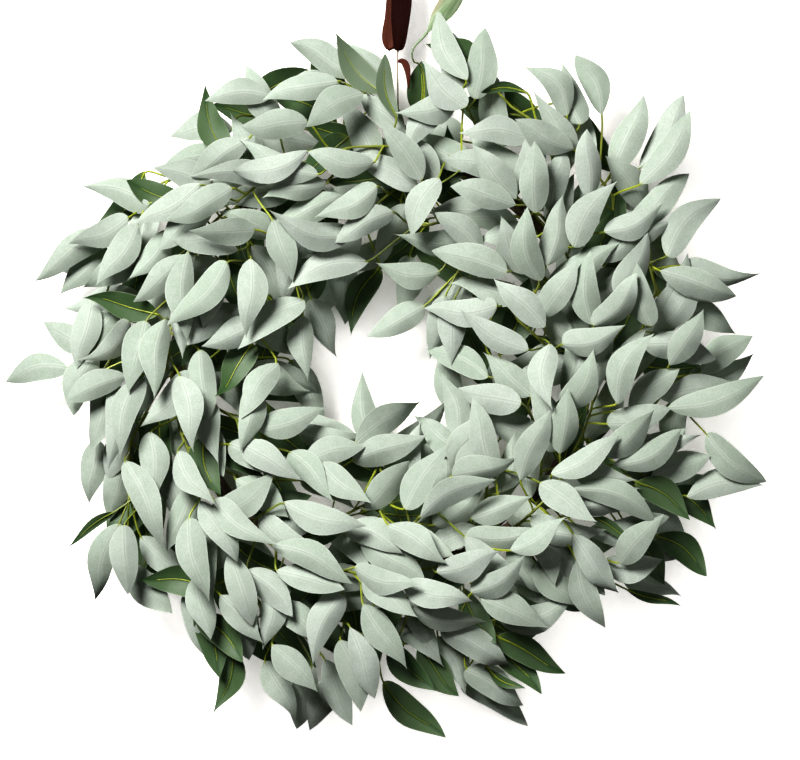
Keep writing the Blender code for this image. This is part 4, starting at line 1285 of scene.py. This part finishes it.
def leaf_materials():
    """Face, underside, rib and edge of the leaves."""
    made = []
    for name, (dark, light, specks, grains) in LEAF_TONES.items():
        face = name == "leaf_face"
        n = Nodes(name, {"Roughness": 0.85 if face else 0.5, "Sheen Weight": 0.12 if face else 0.05})
        tint = n.value("leaf_tint")
        share, aside, shift = n.parts(n.where())
        along = n.times(share, BLADE_MM)
        spot = n.node("ShaderNodeCombineXYZ", {0: along, 1: aside, 2: shift})
        cloud = n.times(n.math("SUBTRACT", n.noise(spot, 0.09), 0.5), 1.3)
        colour = n.mix(n.math("ADD", n.times(tint, 0.75), cloud, True), dark, light)
        speck = n.noise(spot, 0.75, 2.0, 0.6)
        colour = n.mix(n.ramp(speck, 0.3, 0.7, 0.0, 0.5), colour, specks)
        grain = n.noise(n.scaled(spot, (1.0, 2.4, 1.0)), 0.85, 2.0, 0.7)
        colour = n.mix(n.ramp(grain, 0.3, 0.7, 0.0, 0.42), colour, grains)
        away = n.math("ABSOLUTE", aside)
        rim = n.value("leaf_rim")
        if face:
            # Painted shade: a darker line along the rib's groove, fading out towards the tip
            groove = n.times(n.ramp(away, 0.2, 0.7, 1.0, 0.0), n.ramp(share, 0.6, 0.95, 1.0, 0.0))
            # Painted highlight: a paler band on each side of the rib, over the blade's first half,
            # fading out past the middle
            rib_side_painted_highlight = n.times(n.ramp(away, 0.5, 2.4, 1.0, 0.0), n.ramp(share, 0.4, 0.9, 0.35, 0.0))
            tones_and_painted_light = (
                (rib_side_painted_highlight, (0.72, 0.755, 0.71)),
                (n.times(groove, 0.36), (0.22, 0.29, 0.19)),
                (n.ramp(share, 0.0, 0.035, 0.4, 0.0), (0.42, 0.50, 0.16)),
                (n.ramp(rim, 0.9, 0.99, 0.0, 0.45), (0.64, 0.69, 0.62)),
            )
        else:
            tones_and_painted_light = (
                # Painted shadow: darker green within about two millimetres of the middle, beside the
                # raised rib
                (n.times(n.ramp(away, 0.7, 2.2, 1.0, 0.0), 0.6), (0.03, 0.08, 0.02)),
                (n.ramp(share, 0.0, 0.10, 0.6, 0.0), (0.30, 0.40, 0.06)),
                (n.ramp(tint, 1.0, 1.05, 0.0, 0.75), (0.145, 0.19, 0.125)),
                (n.ramp(rim, 0.93, 0.99, 0.0, 0.4), (0.36, 0.44, 0.30)),
            )
        for factor, tone_or_painted_light in tones_and_painted_light:
            colour = n.mix(factor, colour, tone_or_painted_light)
        n.shade({"Base Color": colour})
        threads = n.plus(*(n.wave(spot, 0.32, 0.6, 1.0, way) for way in "XY"))
        weave = n.plus(n.times(threads, 0.35), speck)
        crease = n.noise(n.scaled(spot, (0.55, 0.16, 1.0)), 0.3, 2.0, 0.5)
        n.bump(n.plus(weave, n.times(crease, 1.6)), 0.3 if face else 0.2, 0.3 * MM)
        made.append(n.material)
    n = Nodes("lime_stalk", {"Roughness": 0.5})
    tint = n.value("leaf_tint")
    grain = n.noise(n.where(), 0.35)
    colour = n.mix(n.ramp(grain, 0.3, 0.7), (0.33, 0.40, 0.030), (0.50, 0.56, 0.055))
    colour = n.mix(n.ramp(tint, 0.2, 0.25, 0.65, 0.0), colour, (0.20, 0.23, 0.05))
    colour = n.mix(n.ramp(tint, 0.55, 0.7, 0.0, 0.6), colour, (0.12, 0.17, 0.04))
    n.shade({"Base Color": colour})
    n.bump(grain, 0.3, 0.3 * MM)
    made.append(n.material)
    n = Nodes("leaf_edge", {"Roughness": 0.8})
    cloud = n.noise(n.where(), 0.5, 2.0)
    n.shade({"Base Color": n.mix(cloud, (0.50, 0.57, 0.46), (0.66, 0.71, 0.62))})
    made.append(n.material)
    return made


def bark_material():
    """Bark with streaks along the vine."""
    n = Nodes("vine_bark", {"Roughness": 0.85})
    streak = n.noise(n.scaled(n.where(), (0.25, 1.6, 1.0)), 0.9, 5.0, 0.65)
    colour = n.mix(n.ramp(streak, 0.3, 0.7), (0.045, 0.028, 0.014), (0.17, 0.115, 0.065))
    colour = n.mix(n.times(n.value("leaf_tint"), 0.35), colour, (0.10, 0.06, 0.03))
    n.shade({"Base Color": colour})
    n.bump(streak, 0.8, 0.6 * MM)
    return n.material


def satin_materials():
    """The ribbon's glossy side in its own dark colour, and its duller side, whose paler browns are
    painted light.
    """
    made = []
    for name, roughness, dark, light, bright in (
        ("satin_gloss", 0.40, (0.009, 0.001, 0.0005), (0.026, 0.003, 0.0015), (0.042, 0.008, 0.004)),
        # Painted light: the dull side is rougher, and its paler browns stand for light falling on it
        ("satin_dull", 0.65, (0.070, 0.016, 0.008), (0.120, 0.030, 0.015), (0.150, 0.045, 0.024)),
    ):
        n = Nodes(name, {"Roughness": roughness, "Specular IOR Level": 0.16})
        where = n.where()
        thread = n.noise(n.scaled(where, (0.06, 2.2, 1.0)), 1.0, 3.0, 0.6)
        cross = n.noise(n.scaled(where, (1.6, 0.25, 1.0)), 1.0, 2.0, 0.5)
        colour = n.mix(n.ramp(thread, 0.25, 0.75), dark, light)
        n.shade({"Base Color": n.mix(n.ramp(cross, 0.3, 0.7, 0.0, 0.3), colour, bright)})
        n.bump(n.plus(thread, n.times(cross, 0.4)), 0.2, 0.2 * MM)
        made.append(n.material)
    return made


def paper_material():
    """Paper wrapped round the wire."""
    n = Nodes("wrapped_paper", {"Roughness": 0.8})
    wrap = n.wave(n.where(), 0.22, 1.5, 2.0)
    n.shade({"Base Color": n.mix(wrap, (0.33, 0.22, 0.15), (0.55, 0.42, 0.31))})
    n.bump(wrap, 0.5, 0.3 * MM)
    return n.material


def film_material():
    """The curled leaf's pale film, tan along one edge."""
    n = Nodes("pale_film", {"Roughness": 0.45, "Transmission Weight": 0.25})
    where = n.where()
    streak = n.noise(n.scaled(where, (6.0, 0.9, 1.0)), 0.6, 4.0, 0.6)
    edge = n.ramp(n.parts(where)[1], -9.0, -3.0, 1.0, 0.0)
    colour = n.mix(n.ramp(streak, 0.3, 0.7), (0.30, 0.44, 0.22), (0.52, 0.62, 0.42))
    n.shade({"Base Color": n.mix(n.times(edge, 0.7), colour, (0.60, 0.48, 0.33))})
    n.bump(streak, 0.3, 0.3 * MM)
    return n.material


def wall():
    """A white wall close behind the wreath, seen from its front only. It glows, and its glow is painted
    darker, as shade, where the foliage closes round it.
    """
    turned = (math.pi / 2, 0, 0)
    bpy.ops.mesh.primitive_plane_add(size=7.0, location=(0, WALL_AT, STAGE_HEIGHT), rotation=turned)
    n = Nodes("wall_paint", {
        "Base Color": (0.88, 0.84, 0.82, 1.0),
        "Roughness": 0.9,
        "Emission Color": (1.0, 0.975, 0.965, 1.0),
    })
    # Painted shade: the glow fades where little of the wall is open to its surroundings
    open_to_view = n.node("ShaderNodeAmbientOcclusion", {"Distance": SHADE_REACH}, "AO", samples=8)
    n.shade({"Emission Strength": n.ramp(open_to_view, *WALL_SHADE, 0.0, WALL_GLOW)})
    clear = n.node("ShaderNodeBsdfTransparent", {})
    behind = n.node("ShaderNodeNewGeometry", {}, "Backfacing")
    seen = n.node("ShaderNodeMixShader", {0: behind, 1: n.shader.outputs[0], 2: clear})
    n.feed(n.tree.nodes["Material Output"], {"Surface": seen})
    staged("white_wall", n.material)


def room():
    """A pale room far round everything, for what the wall doesn't fill."""
    bpy.ops.mesh.primitive_uv_sphere_add(
        segments=32, ring_count=16, radius=ROOM_RADIUS, location=(0, 0, STAGE_HEIGHT),
    )
    n = Nodes("room_paint", {
        "Base Color": (0.0, 0.0, 0.0, 1.0), "Specular IOR Level": 0.0,
        "Emission Color": (0.93, 0.93, 0.925, 1.0), "Emission Strength": 0.9,
    })
    staged("pale_room", n.material)


def staged(name, material):
    """Makes the newest object a part of the stage, in view but out of the wreath's light."""
    thing = bpy.context.object
    thing.name = name
    thing.data.materials.append(material)
    seen_only(thing)
    thing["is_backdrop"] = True


def seen_only(thing):
    """Leaves a thing in view and takes it out of what lights and shades the wreath."""
    thing.visible_diffuse = False
    thing.visible_glossy = False
    thing.visible_transmission = False
    thing.visible_shadow = False


def aimed(thing, at):
    """Turns a light or camera towards a point."""
    run = Vector(at) - thing.location
    thing.rotation_euler = run.to_track_quat("-Z", "Y").to_euler()


def lights():
    """Two lamps in front, two behind for the back's view, and a faint light all round."""
    scene = bpy.context.scene
    for name, where, size, power, colour in (
        ("key", (-1.5, -2.6, 1.6), 1.5, 216.0, (1.0, 0.995, 0.98)),
        ("fill", (1.8, -3.2, -0.2), 2.4, 16.0, (0.97, 1.0, 0.94)),
        ("rear_left", (-2.0, 2.9, 1.0), 1.8, 85.0, (1.0, 1.0, 1.0)),
        ("rear_right", (1.9, 2.9, 0.3), 1.8, 48.0, (1.0, 1.0, 1.0)),
    ):
        lamp = bpy.data.lights.new(name, "AREA")
        lamp.color = colour
        lamp.shape = "DISK"
        lamp.size = size
        lamp.energy = power
        thing = bpy.data.objects.new(name, lamp)
        thing.location = where
        thing.visible_camera = False
        scene.collection.objects.link(thing)
        aimed(thing, (-0.01, 0, -0.33))
    world = bpy.data.worlds.new("soft_room")
    world.use_nodes = True
    sky = world.node_tree.nodes["Background"]
    sky.inputs["Color"].default_value = (0.92, 1.0, 0.72, 1.0)
    sky.inputs["Strength"].default_value = ROOM_LIGHT
    scene.world = world


def camera():
    """Far in front of the wreath and square to it, so that the frame is 800 pixels wide."""
    lens = bpy.data.cameras.new("camera")
    lens.sensor_width = 36.0
    lens.lens = lens.sensor_width * CAMERA_AWAY / (FRONT_SIZE[0] * PIXEL)
    lens.clip_end = 100.0
    eye = bpy.data.objects.new("camera", lens)
    bpy.context.scene.collection.objects.link(eye)
    middle = place(FRONT_SIZE[0] / 2, FRONT_SIZE[1] / 2, 35 * MM)
    eye.location = middle - Vector((0, CAMERA_AWAY, 0))
    eye.rotation_euler = (math.pi / 2, 0, 0)
    bpy.context.scene.camera = eye


def dressed(piece, slot, *nodes):
    """The piece, which rides on the body and stands for its nodes."""
    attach(piece, "root")
    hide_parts(*nodes)
    return piece


def main():
    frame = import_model()
    cad_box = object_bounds()
    scene = bpy.context.scene
    scene.view_settings.view_transform = "Standard"
    scene.view_settings.gamma = PRINT_GAMMA
    camera()
    lights()
    wall()
    room()
    nodes = frame["nodes"]
    stems = [Stem(row, number) for row in STEM_ROWS for number in range(row[1])]
    missing = found_leaves(stems, nodes)
    filling_leaves(stems, nodes, missing)
    leaves = [leaf for stem in stems for leaf in stem.leaves]
    bend_aside(leaves)
    greyed = grey_backed(leaves)
    for leaf in leaves:
        leaf.roll -= (1 - ROLL_KEPT) * math.remainder(leaf.roll, math.pi)
    materials = leaf_materials()
    for number, stem in enumerate(stems):
        shape = Shape()
        fine_stem(shape, stem)
        rng = random.Random(9000 + number)
        for leaf in stem.leaves:
            fine_leaf(shape, leaf, stem, rng, leaf in greyed)
        dressed(shape.made("fine_" + stem.name, materials), "leaf_fabric", stem.name)
    dressed(vine_ring(bark_material()), "ring_vine", "base_ring")
    satin = satin_materials()[::-1]
    loop = dressed(satin_loop(satin), "satin_ribbon", "hanger_ribbon")
    tail = dressed(satin_tail(satin[::-1]), "satin_ribbon", "ribbon_tail")
    dressed(covered_wire(paper_material()), "covered_wire", "tie_wire")
    dressed(curled_leaf(film_material(), materials[2]), "pale_leaf", "curled_top_leaf")
    for corner in (*cad_box, *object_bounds()):
        json.dumps([round(float(v), 5) for v in corner]) + "\n"


main()
